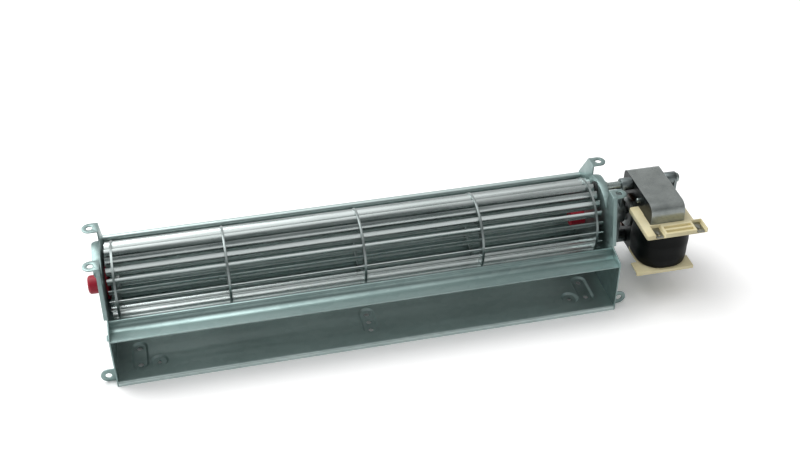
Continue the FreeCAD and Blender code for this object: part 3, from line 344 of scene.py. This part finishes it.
def end_tree(tree, instances, finish):
    real = add(tree, "GeometryNodeRealizeInstances", {"Geometry": instances})
    painted = add(tree, "GeometryNodeSetMaterial", {"Geometry": real, "Material": finish})
    add(tree, "NodeGroupOutput", {"Geometry": painted})


print("a tree takes", len(SOCKETS), "kinds of size, and a finish")

# %% [markdown]
# A tree does its work inside a modifier. The modifier's inputs are filled by their identifiers, the
# evaluated result is copied out as a plain mesh, and the modifier is taken off again, because the
# frame wants meshes that stand on their own. Round faces are shaded smooth, and an edge stays crisp
# where its faces meet at more than the crease angle.

# %% Run a tree and keep its mesh
CREASE = math.radians(32)


def crisp(mesh):
    mesh.shade_smooth()
    mesh.set_sharp_from_angle(angle=CREASE)


def settle(piece):
    graph = bpy.context.evaluated_depsgraph_get()
    mesh = bpy.data.meshes.new_from_object(piece.evaluated_get(graph))
    piece.modifiers.clear()
    piece.data = mesh
    mesh.name = piece.name


def grow(name, tree, sizes, start_mesh=None):
    piece = new_object(name, start_mesh or bpy.data.meshes.new(name))
    modifier = piece.modifiers.new("grow", "NODES")
    modifier.node_group = tree
    for item in tree.interface.items_tree:
        if item.in_out == "INPUT" and item.name in sizes:
            modifier[item.identifier] = sizes[item.name]
    settle(piece)
    crisp(piece.data)
    return piece


print("crease angle", round(math.degrees(CREASE)), "degrees")

# %% [markdown]
# A finished piece is handed to the frame: it rides on one of the two bodies and stands for one solid,
# which is hidden and stays for the physics.


# %% Hand a piece to the frame
def hand_over(piece, body, node):
    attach(piece, body)
    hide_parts(node)
    print(piece.name, "rides on", body + ",", len(piece.data.polygons), "faces")


# %% [markdown]
# ## Blades by a rule
# The drum is one blade repeated round an axis, and the blade is part of a cylinder. A drawing gives the
# radius of the tips, the depth of a blade and the angle at which air leaves it. A little geometry turns
# those into the bend's radius, its centre and the turn at which the arc ends at the tip. The solid
# blades underneath stay for the physics.

# %% The arc of a blade
TIP_RADIUS, BLADE_DEPTH, EXIT_ANGLE, BLADE_SHEET = 29.2, 7.0, math.radians(26), 0.5     # mm
root_radius = TIP_RADIUS - BLADE_DEPTH
bend = (TIP_RADIUS ** 2 - root_radius ** 2) / (2 * TIP_RADIUS * math.cos(EXIT_ANGLE))
reach = math.hypot(root_radius, bend)
across = (reach ** 2 + TIP_RADIUS ** 2 - bend ** 2) / (2 * reach * TIP_RADIUS)
tip_turn = math.acos(across) - math.atan2(bend, root_radius)
end_turn = math.atan2(TIP_RADIUS * math.sin(tip_turn) + bend,
                      TIP_RADIUS * math.cos(tip_turn) - root_radius)
print("bend radius", round(bend, 2), "mm over", round(90 - math.degrees(end_turn), 1), "degrees")

# %% [markdown]
# The tree starts from a flat grid. The distance across the grid becomes a turn about the bend's
# centre, so the grid lies on the arc. It is made thick, and set round the axis once for each blade.

# %% Grow the drum
BEND_STEPS = 12
BLADES = {"Length": 0.370, "Count": 22, "Bend radius": (bend - BLADE_SHEET / 2) * MM,
          "Bend centre": Vector((0, root_radius, -bend)) * MM, "End turn": end_turn,
          "Thickness": BLADE_SHEET * MM, "Finish": aluminium}
tree, size = new_tree("blade_drum", BLADES)
grid = add(tree, "GeometryNodeMeshGrid", {"Size X": size["Length"], "Size Y": 1.0, "Vertices X": 2,
                                          "Vertices Y": BEND_STEPS + 1})
spot = add(tree, "ShaderNodeSeparateXYZ", {"Vector": add(tree, "GeometryNodeInputPosition")})
turn = add(tree, "ShaderNodeMapRange", {"Value": spot.outputs["Y"], "From Min": -0.5, "From Max": 0.5,
                                        "To Min": math.pi / 2, "To Max": size["End turn"]})
direction = add(tree, "ShaderNodeCombineXYZ", {
    "Y": add(tree, "ShaderNodeMath", {0: turn}, operation="COSINE"),
    "Z": add(tree, "ShaderNodeMath", {0: turn}, operation="SINE")})
bent = add(tree, "ShaderNodeVectorMath", {0: direction, 1: size["Bend radius"],
                                          2: size["Bend centre"]}, operation="MULTIPLY_ADD")
along = add(tree, "ShaderNodeCombineXYZ", {"X": spot.outputs["X"]})
curved = add(tree, "GeometryNodeSetPosition", {"Geometry": grid, "Position": bent, "Offset": along})
blade = thickened(tree, curved, size["Thickness"])
step = add(tree, "ShaderNodeMath", {0: 2 * math.pi, 1: size["Count"]}, operation="DIVIDE")
turned = add(tree, "ShaderNodeMath", {0: add(tree, "GeometryNodeInputIndex"), 1: step},
             operation="MULTIPLY")
drum = add(tree, "GeometryNodeInstanceOnPoints", {
    "Points": add(tree, "GeometryNodePoints", {"Count": size["Count"]}), "Instance": blade,
    "Rotation": add(tree, "ShaderNodeCombineXYZ", {"X": turned})})
end_tree(tree, drum, size["Finish"])
blade_drum = grow("blade_drum", tree, BLADES)
blade_drum.data.transform(Matrix.Translation(AXIS))
hand_over(blade_drum, "rotor", "impeller_blades")

# %% [markdown]
# ## Round pieces from rings of points
# Screws, nuts, grommets, the rubber mount and the coil all have one thing in common: a closed loop of
# points that changes as it moves along. One function joins such loops into a skin, and merges the
# points where a loop has shrunk to a pole.


# %% Loops into a skin
def from_shape(name, shape, finish):
    mesh = bpy.data.meshes.new(name)
    shape.to_mesh(mesh)
    shape.free()
    mesh.shade_smooth()
    mesh.materials.append(finish)
    return new_object(name, mesh)


def loft(name, loops, finish, ring=False):
    """Skin over loops of points in mm from the drum's axis; ring joins the last to the first."""
    shape = bmesh.new()
    rows = [[shape.verts.new(from_axis(*point)) for point in loop] for loop in loops]
    for row, after in zip(rows, rows[1:] + rows[:1] if ring else rows[1:]):
        for i in range(len(row)):
            shape.faces.new((row[i - 1], row[i], after[i], after[i - 1]))
    bmesh.ops.remove_doubles(shape, verts=shape.verts, dist=MERGE)
    bmesh.ops.recalc_face_normals(shape, faces=shape.faces)
    piece = from_shape(name, shape, finish)
    crisp(piece.data)
    return piece


print("points nearer than", MERGE, "m are merged")

# %% [markdown]
# A lathe piece is the case where each loop is a circle, and a nut is a lathe piece whose middle loops
# are hexagons. Its section is a row of points too, with arcs where an edge is rounded.


# %% Circles and arcs
def circle(x, radius, count, sides=0):
    """Circle across X, or a polygon with that many sides whose flats are at that radius."""
    loop = []
    for i in range(count):
        turn = 2 * math.pi * i / count
        off_flat = turn % (2 * math.pi / sides) - math.pi / sides if sides else 0
        reach = radius / math.cos(off_flat)
        loop.append((x, reach * math.cos(turn), reach * math.sin(turn)))
    return loop


def arc(x, y, radius, start, end, steps=6):
    """Points on an arc about (x, y), between two angles in degrees."""
    turns = [math.radians(start + (end - start) * i / steps) for i in range(steps + 1)]
    return [(x + radius * math.cos(turn), y + radius * math.sin(turn)) for turn in turns]


print("a quarter arc in six steps:", len(arc(0, 0, 1, 0, 90)), "points")

# %% [markdown]
# ## The red rubber mount
# The left bearing sits in a moulded silicone bush: a flange inside the end plate, a collar outside it,
# and a rounded nose over the axle's end. Moulded rubber has no sharp edge anywhere, so its rims are
# drawn as quarter circles. The seat in the plate and the bore for the bearing stay as in the solid.

# %% Rubber mount
LEFT_PLATE = -187                       # inner face of the left end plate, mm
BEARING, SEAT, COLLAR = 5.03, 8.97, 9.5     # radii, mm
flange = [(2.0, BEARING), (2.0, 11.5)] + arc(1.0, 11.5, 1.0, 0, 90) + arc(0.5, 12.0, 0.5, 90, 180)
seat = [(0.0, SEAT), (-1.0, SEAT), (-1.0, COLLAR)]
collar = arc(-1.5, COLLAR, 0.5, 0, 90) + arc(-2.0, COLLAR, 0.5, 90, 180)
nose = [(-2.5, 7.6)] + arc(-3.1, 7.6, 0.6, 0, -90) + arc(-10.9, 4.5, 2.5, 90, 180, 8)
inside = [(-13.4, 0.0), (-11.2, 0.0), (-11.2, BEARING)]
section = flange + seat + collar + nose + inside
mount = loft("rubber_mount", [circle(LEFT_PLATE + x, r, 64) for x, r in section], red_rubber, ring=True)
hand_over(mount, "casing", "bearing_mount")

# %% [markdown]
# ## Screws, nuts, grommets and sleeves
# Two long screws hold the brackets, the core and the end plate together, each with a rubber grommet in
# the plate, a nut and a spacer sleeve, and two short screws clamp the core. Each kind is drawn once and
# a small geometry tree sets out the copies, with the number, the first place and the step as inputs.

# %% A row of equal pieces
PLATE, CORE, CORE_END = 188, 216.5, 243.5   # outer face of the right plate, left and right of the core
SCREW, CLAMP = 25.5, 21.5                   # heights of the long screws and the upper clamp screw
CLAMP_FRONT = -17.5                         # clamp screws in front of the axis
ROW = {"Count": 2, "First place": Vector(), "Step": Vector(), "Finish": zinc_plate}
row_tree, size = new_tree("row_of_pieces", ROW)
spots = add(row_tree, "GeometryNodeMeshLine", {
    "Count": size["Count"], "Start Location": size["First place"], "Offset": size["Step"]},
    mode="OFFSET")
copies = add(row_tree, "GeometryNodeInstanceOnPoints", {"Points": spots, "Instance": size["Geometry"]})
end_tree(row_tree, copies, size["Finish"])


def pair(piece, x, node, y=0, top=SCREW):
    """One copy at the height top and one at the lower screw's, of a piece drawn about the axis."""
    mesh = piece.data
    bpy.data.objects.remove(piece)
    sizes = {"Count": 2, "First place": Vector((x, y, top)) * MM,
             "Step": Vector((0, 0, -SCREW - top)) * MM, "Finish": mesh.materials[0]}
    hand_over(grow(node + "_set", row_tree, sizes, mesh), "casing", node)


print("screws at", SCREW, "and", CLAMP, "mm")

# %% [markdown]
# A pan head screw is a lathe piece with a cross recess. The recess is a cross that narrows as it goes
# in, taken out of the head with a Boolean modifier. One arm of the cross is drawn, and three quarter
# turns of it give the rest.

# %% Pan head screws with a cross recess
BOSS = 9.3                          # the bracket's boss stands out from the core by this
SCREW_TIP, CLAMP_TIP = 186.4, 2     # where the long screws end, and how far the short ones stick out
SHANK, HEAD, HEAD_HIGH, TIP_BEVEL = 2.0, 3.8, 2.8, 0.5
ARM, ARM_HALF, RECESS, PROUD = 1.9, 0.35, 1.3, 0.4  # the cutter stands proud of the head by the last


def pan_head(length):
    shank = [(-length, 0.0), (-length, SHANK - TIP_BEVEL), (TIP_BEVEL - length, SHANK), (0.0, SHANK)]
    head = [(0.0, HEAD)] + arc(1.0, 2.0, HEAD - 2.0, 90, 20, 8) + [(HEAD_HIGH, 1.4), (HEAD_HIGH, 0.0)]
    screw = loft("pan_head", [circle(x, r, 32) for x, r in shank + head], zinc_plate)
    cross = [(ARM_HALF, ARM), (-ARM_HALF, ARM), (-ARM_HALF, ARM_HALF)]
    for _ in range(3):
        cross += [(-z, y) for y, z in cross[-3:]]
    low, high = HEAD_HIGH - RECESS, HEAD_HIGH + PROUD
    sizes = ((low, 0), (low, 0.5), (high, 1.08), (high, 0))     # half as wide at the bottom
    cutter = loft("cross_cutter", [[(x, y * k, z * k) for y, z in cross] for x, k in sizes], zinc_plate)
    cut = screw.modifiers.new("cut", "BOOLEAN")
    cut.object, cut.operation, cut.solver = cutter, "DIFFERENCE", "EXACT"
    settle(screw)
    bpy.data.objects.remove(cutter)
    return screw


pair(pan_head(CORE_END + BOSS - SCREW_TIP), CORE_END + BOSS, "bracket_screws")
pair(pan_head(CORE_END - CORE + CLAMP_TIP), CORE_END, "clamp_screws",
     CLAMP_FRONT, CLAMP)

# %% [markdown]
# The nut's corners are turned away on both faces, so its outer loops are circles. The grommet has a
# groove that the plate's hole snaps into, between a small rim inside and a domed one outside. The
# sleeve is a tube with its ends bevelled. All three run on the same long screw.

# %% Nuts, grommets and sleeves
BORE, FLAT, HEXAGON = 2.03, 3.5, 6  # radius over the screw's thread, half across flats, sides of a nut
nut_section = [(0, BORE, 0), (0, FLAT, 0), (0.35, FLAT, HEXAGON), (2.85, FLAT, HEXAGON),
               (3.2, FLAT, 0), (3.2, BORE, 0)]
nut = loft("nut", [circle(x, r, 48, sides) for x, r, sides in nut_section], zinc_plate, ring=True)
pair(nut, PLATE + 5.5, "grommet_nuts")
small_rim = [(-2.2, BORE), (-2.2, 4.9)] + arc(-1.6, 4.9, 0.6, 180, 90) + [(-1.0, 5.5)]
groove = [(-1.0, 3.97), (0.0, 3.97)]
dome = arc(0.5, 5.0, 0.5, 180, 90) + arc(4.1, 4.1, 1.4, 90, 0) + [(5.5, BORE)]
grommet = loft("grommet", [circle(x, r, 40) for x, r in small_rim + groove + dome], black_rubber,
               ring=True)
pair(grommet, PLATE, "plate_grommets")
tube = [(0, BORE), (0, 2.8), (0.2, 3.0), (10.3, 3.0), (10.5, 2.8), (10.5, BORE)]
sleeve = loft("sleeve", [circle(x, r, 40) for x, r in tube], zinc_plate, ring=True)
pair(sleeve, PLATE + 8.7, "spacer_sleeves")

# %% [markdown]
# ## The coil under its tape
# The winding is a rounded block of copper wire, wrapped in black tape. It is widest at its middle, where
# the wire bulges, and the tape rounds its ends over towards the bobbin. Loops of a rounded rectangle,
# each a little wider or narrower, draw that, and the same loop in small lines the hole for the bobbin.


# %% Taped coil
def block_loop(x0, x1, y0, y1, front, rear, z, steps=10):
    """Rounded rectangle, counted the same for all sizes; front and rear corners have radii."""
    corners = ((x0 + front, y0 + front, front, 180), (x1 - front, y0 + front, front, 270),
               (x1 - rear, y1 - rear, rear, 0), (x0 + rear, y1 - rear, rear, 90))
    return [(x, y, z) for cx, cy, radius, start in corners
            for x, y in arc(cx, cy, radius, start, start + 90, steps)]


COIL_LOW, COIL_HIGH, COIL_STEPS = -18.8, 12.2, 24
FRONT, REAR, OVERHANG = -54.5, -18.7, 6.5   # coil before and behind the axis, and past the core's sides
FRONT_CORNER, REAR_CORNER = 17, 8.5         # radii
ROUNDING, ROUNDED = 0.9, 0.12               # the ends are drawn in, over this share of the height
BULGE, LAP, LAPS, PLAY = 0.5, 0.12, 2.5, 0.3    # wire at the middle, tape's steps and their number
coil_loops = []
for k in range(COIL_STEPS + 1):
    share = k / COIL_STEPS
    from_end = min((1 - abs(2 * share - 1)) / ROUNDED, 1)
    inset = (PLAY + ROUNDING * (1 - from_end) ** 2 - BULGE * math.sin(math.pi * share)
             + LAP * math.cos(2 * math.pi * LAPS * share))
    coil_loops.append(block_loop(CORE - OVERHANG + inset, CORE_END + OVERHANG - inset, FRONT + inset,
                                 REAR - inset, FRONT_CORNER - inset, REAR_CORNER - inset,
                                 COIL_LOW + (COIL_HIGH - COIL_LOW) * share))
hole = (CORE - 1.3, CORE_END + 1.3, -43.3, -27.7, 0.4, 0.4)
coil_loops += [block_loop(*hole, COIL_HIGH), block_loop(*hole, COIL_LOW)]
hand_over(loft("taped_coil", coil_loops, tape, ring=True), "casing", "coil_winding")

# %% [markdown]
# ## The core, sheet by sheet
# The core is pressed sheets, stacked and clamped. Only its outline is drawn: edges with holes for the
# rotor, the screws and the copper shading turns. A geometry tree fills the outline, thickens it to one
# sheet, and stacks as many as it is asked for, with a hair's gap between them that catches a shadow.

# %% Outline of one sheet
BACK, TUNNEL, HOLE, SLOT = 22, 13.5, 2.15, 1.13     # radii of back, rotor and screw holes, half a slot
SHOULDER, NOSE = 14.4, 5                            # rear side above and below the back, its corners
swing = math.degrees(math.acos(SHOULDER / BACK))
outer = ([(-17.5, 16), (-42, 16)] + arc(-34, 22.5, 8, 180, 90, 12)
         + arc(SHOULDER - NOSE, SCREW, NOSE, 90, 0, 8) + arc(0, 0, BACK, swing, -swing, 24)
         + arc(SHOULDER - NOSE, -SCREW, NOSE, 0, -90, 8)
         + arc(-34, -22.5, 8, 270, 180, 12) + [(-42, -20), (-17.5, -20)])
holes = [arc(0, 0, TUNNEL, 0, 352.5, 47)]
for y, z in ((0, SCREW), (0, -SCREW), (CLAMP_FRONT, CLAMP), (CLAMP_FRONT, -SCREW)):
    holes.append(arc(y, z, HOLE, 0, 345, 23))
for y, z in ((-2.6, 16.1), (-8.4, 16.1), (2.6, -16.1), (8.4, -16.1)):
    holes.append([(y + SLOT * a, z + SLOT * b) for a, b in ((-1, -1), (1, -1), (1, 1), (-1, 1))])
points, edges = [], []
for loop in [outer] + holes:
    start = len(points)
    points += [(y * MM, z * MM, 0) for y, z in loop]
    edges += [(start + i, start + (i + 1) % len(loop)) for i in range(len(loop))]
outline_mesh = bpy.data.meshes.new("sheet_outline")
outline_mesh.from_pydata(points, edges, [])
print("outline with", len(holes), "holes")

# %% [markdown]
# The tree works lying flat, with the sheets piled up along Z. A matrix then stands the pile up, so
# that the sheets follow each other along X, and moves it to the core's left face.

# %% Stack of sheets
STACK = {"Sheets": 27, "Pitch": SHEET_PITCH * MM, "Sheet": 0.9 * MM, "Finish": core_steel}
tree, size = new_tree("stacked_sheets", STACK)
loops = add(tree, "GeometryNodeMeshToCurve", {"Mesh": size["Geometry"]})
flat_sheet = add(tree, "GeometryNodeFillCurve", {"Curve": loops}, mode="NGONS")
pitch = add(tree, "ShaderNodeCombineXYZ", {"Z": size["Pitch"]})
pile = add(tree, "GeometryNodeMeshLine", {"Count": size["Sheets"], "Offset": pitch}, mode="OFFSET")
stack = add(tree, "GeometryNodeInstanceOnPoints", {
    "Points": pile, "Instance": thickened(tree, flat_sheet, size["Sheet"])})
end_tree(tree, stack, size["Finish"])
sheets = grow("sheet_stack", tree, STACK, outline_mesh)
upright = Matrix(((0, 0, 1, 0), (1, 0, 0, 0), (0, 1, 0, 0), (0, 0, 0, 1)))
sheets.data.transform(Matrix.Translation(from_axis(CORE, 0, 0)) @ upright)
hand_over(sheets, "casing", "stator_stack")

# %% [markdown]
# ## Rounded ends of the rims
# The round top of each end plate is turned outwards as a narrow rim, and the rim's ends are rounded in
# the plane of the sheet. The rim's faces are cut across where the curve needs points, and those points
# are then drawn back onto a quarter circle.

# %% Round a rim's ends
RIM_FACE, RIM_TIP, RIM_RADIUS, CORNER = 188, 193, 33.5, 4.5     # mm
RIM_LOWEST, NEAR = 20, 0.01                                     # mm above the axis, and tolerance
RIM_ENDS = ((math.radians(74.6), 1), (math.radians(136.0), -1))     # rear and front end, way inwards
CUTS = (0.3, 0.9, 1.8, 3.0, 4.4)                                # mm from a rim's end


def rim_places(shape):
    """Vertices of the rim, with how far each stands out and where it is on the arc."""
    for vertex in shape.verts:
        x, y, z = (vertex.co - AXIS) / MM
        near_arc = math.hypot(y, z) < RIM_RADIUS + 1 and z > RIM_LOWEST
        if near_arc and abs(x) > RIM_FACE - NEAR:
            yield vertex, x, math.atan2(z, y)


def round_rim(shape):
    for end, way in RIM_ENDS:
        for along in CUTS:
            turn = end + way * along / RIM_RADIUS
            rim = {vertex for vertex, x, at in rim_places(shape)}
            faces = [face for face in shape.faces if all(vertex in rim for vertex in face.verts)]
            edges = {edge for face in faces for edge in face.edges}
            bmesh.ops.bisect_plane(shape, geom=faces + list(edges) + list(rim), dist=MERGE,
                                   plane_co=AXIS, plane_no=(0, -math.sin(turn), math.cos(turn)))
        for vertex, x, at in rim_places(shape):
            left = CORNER - way * (at - end) * RIM_RADIUS
            if abs(x) > RIM_TIP - NEAR and left > 0:
                cut = CORNER - math.sqrt(max(CORNER ** 2 - left ** 2, 0))
                vertex.co.x -= math.copysign(cut * MM, x)


print("rim ends rounded by", CORNER, "mm")

# %% [markdown]
# ## Edges that catch the light
# A sheared sheet, a casting or a moulding never ends in a mathematical corner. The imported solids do, so
# the ones whose edges show are copied, their loose triangles are merged, and a narrow bevel is run along
# every sharp edge. Sheet metal gets a tenth or two of a millimetre, castings and mouldings a little more.

# %% Bevelled copies
LOOSE, BEVELLED = 1e-6, math.radians(35)    # merging distance in metres, and sharper edges than this


def softened(name, node, width_mm, body):
    source = frame["nodes"][node].data
    shape = bmesh.new()
    shape.from_mesh(source)
    bmesh.ops.remove_doubles(shape, verts=shape.verts, dist=LOOSE)
    if node.startswith("end_plate"):
        round_rim(shape)
    piece = from_shape(name, shape, source.materials[0])
    bevel = piece.modifiers.new("bevel", "BEVEL")
    bevel.width, bevel.segments, bevel.angle_limit = width_mm * MM, 2, BEVELLED
    bevel.use_clamp_overlap, bevel.harden_normals = False, True
    settle(piece)
    hand_over(piece, body, node)


for node, width in (("end_plate_left", 0.2), ("end_plate_right", 0.2), ("vortex_tongue", 0.15)):
    softened(node + "_sheared", node, width, "casing")
softened("bobbin_moulded", "coil_bobbin", 0.2, "casing")
for side in ("inner", "outer"):
    softened(side + "_bracket_cast", "motor_bracket_" + side, 0.4, "casing")
softened("terminals_stamped", "terminals", 0.15, "casing")
for node in ("ring_left", "ring_middle", "ring_right"):
    softened(node + "_pressed", node, 0.15, "rotor")

# %% [markdown]
# ## Floor, light and camera
# The fan stands on a white sweep. A white floor alone would need harsh lamps, so it is brighter for
# the camera than for the fan, and mirrors of it in the metal see plain white paper.

# %% A pale floor
FLOOR_LIT, FLOOR_MIRRORED, FLOOR_SEEN = 0.7, 1.0, 0.5   # for matt faces, for mirrors, added for camera


def backdrop(name, corners, material):
    mesh = bpy.data.meshes.new(name)
    mesh.from_pydata(corners, [], [(0, 1, 2, 3)])
    mesh.materials.append(material)
    sheet = new_object(name, mesh)
    return sheet


paper, tree = empty_material("white_paper_sweep")
rays = add(tree, "ShaderNodeLightPath").outputs
mirrored = add(tree, "ShaderNodeMath", {0: rays["Is Glossy Ray"], 1: rays["Is Transmission Ray"]},
               operation="MAXIMUM")
level = add(tree, "ShaderNodeMapRange", {"Value": mirrored, "To Min": FLOOR_LIT,
                                         "To Max": FLOOR_MIRRORED})
level = add(tree, "ShaderNodeMath", {0: rays["Is Camera Ray"], 1: FLOOR_SEEN, 2: level},
            operation="MULTIPLY_ADD")
white = add(tree, "ShaderNodeCombineColor", {"Red": level, "Green": level, "Blue": level})
matt = add(tree, "ShaderNodeBsdfDiffuse", {"Color": white})
add(tree, "ShaderNodeOutputMaterial", {"Surface": matt})
backdrop("studio_floor", [(-6, -6, 0), (6, -6, 0), (6, 6, 0), (-6, 6, 0)], paper)
print("floor at z = 0")

# %% [markdown]
# The room gives an even light from everywhere. Matt faces get half of it, so that hollows stay dark,
# and the camera and the mirrors in the metal see it white.

# %% The room's even light
ROOM_LIT, ROOM_SEEN = 0.5, 1.0
world = bpy.data.worlds.new("white_studio")
bpy.context.scene.world = world
world.use_nodes = True
tree = world.node_tree
tree.nodes.clear()
rays = add(tree, "ShaderNodeLightPath").outputs
seen = rays["Is Camera Ray"]
for kind in ("Is Glossy Ray", "Is Transmission Ray"):
    seen = add(tree, "ShaderNodeMath", {0: seen, 1: rays[kind]}, operation="MAXIMUM")
level = add(tree, "ShaderNodeMapRange", {"Value": seen, "To Min": ROOM_LIT, "To Max": ROOM_SEEN})
room = add(tree, "ShaderNodeBackground", {"Color": (1, 1, 1, 1), "Strength": level})
add(tree, "ShaderNodeOutputWorld", {"Surface": room})
print("room:", world.name)

# %% [markdown]
# Two large soft lamps stand in for a photographer's boxes: the key behind the fan on the left, which
# gives the soft shadow towards the camera, and a wide one above that fills the tops of the sheets.


# %% Two soft lamps
def soft_lamp(name, place, target, width, height, watts):
    lamp = bpy.data.lights.new(name, "AREA")
    lamp.shape, lamp.size, lamp.size_y, lamp.energy = "RECTANGLE", width, height, watts
    holder = new_object(name, lamp)
    holder.location = place
    holder.rotation_euler = (Vector(target) - Vector(place)).to_track_quat("-Z", "Y").to_euler()


soft_lamp("key_box", (-0.8, 0.6, 1.3), (0, 0, 0.03), 1.3, 1.3, 18)
soft_lamp("top_box", (-0.2, 0.1, 1.5), (0, 0, 0.04), 1.8, 1.3, 6)
print("two lamps")

# %% [markdown]
# Bright metal shows what stands round it. A grey card behind the camera gives the upright sheets their
# darker grey, and a black one on the right draws the dark side of the curved pieces. Level sheets
# mirror what is above them, so a ceiling at half the room's brightness keeps the ears and the blades
# from going as white as the paper. Only mirrors see these three, so they cast no shadow.


# %% Cards and a ceiling for the metal to mirror
def for_mirrors(name, corners, surface, shade, **inputs):
    material, tree = empty_material(surface)
    add(tree, "ShaderNodeOutputMaterial", {"Surface": add(tree, shade, inputs)})
    sheet = backdrop(name, corners, material)
    sheet.visible_camera = sheet.visible_diffuse = sheet.visible_shadow = False


for_mirrors("card_behind_camera",
            [(-2.4, -1.5, 0.55), (0.7, -1.5, 0.55), (0.7, -1.1, 2.0), (-2.4, -1.1, 2.0)],
            "grey_felt", "ShaderNodeBsdfDiffuse", Color=linear("#646C6C"))
for_mirrors("card_on_the_right",
            [(1.1, -1.2, 0.2), (1.1, 0.8, 0.2), (1.1, 0.8, 1.2), (1.1, -1.2, 1.2)],
            "black_felt", "ShaderNodeBsdfDiffuse", Color=linear("#1C2222"))
for_mirrors("grey_ceiling", [(-5, -4, 2.4), (5, -4, 2.4), (5, 5, 2.4), (-5, 5, 2.4)],
            "grey_plaster", "ShaderNodeEmission", Color=(1, 1, 1, 1), Strength=0.5)
print("two cards and a ceiling")

# %% [markdown]
# The camera was solved from points of the catalogue picture whose places on the fan are known: corners
# of the casing, ear holes and the ends of the drum. It looks down from in front and a little left.

# %% The camera
camera_data = bpy.data.cameras.new("catalogue_camera")
camera_data.lens, camera_data.sensor_width = 52.29, 36
camera = new_object("catalogue_camera", camera_data)
camera.location = (-0.15066, -0.66870, 0.59435)
camera.rotation_euler = (math.radians(52.65), 0, math.radians(-12.79))
bpy.context.scene.camera = camera
bpy.context.scene.view_settings.view_transform = "Standard"
print("camera at", tuple(camera.location))
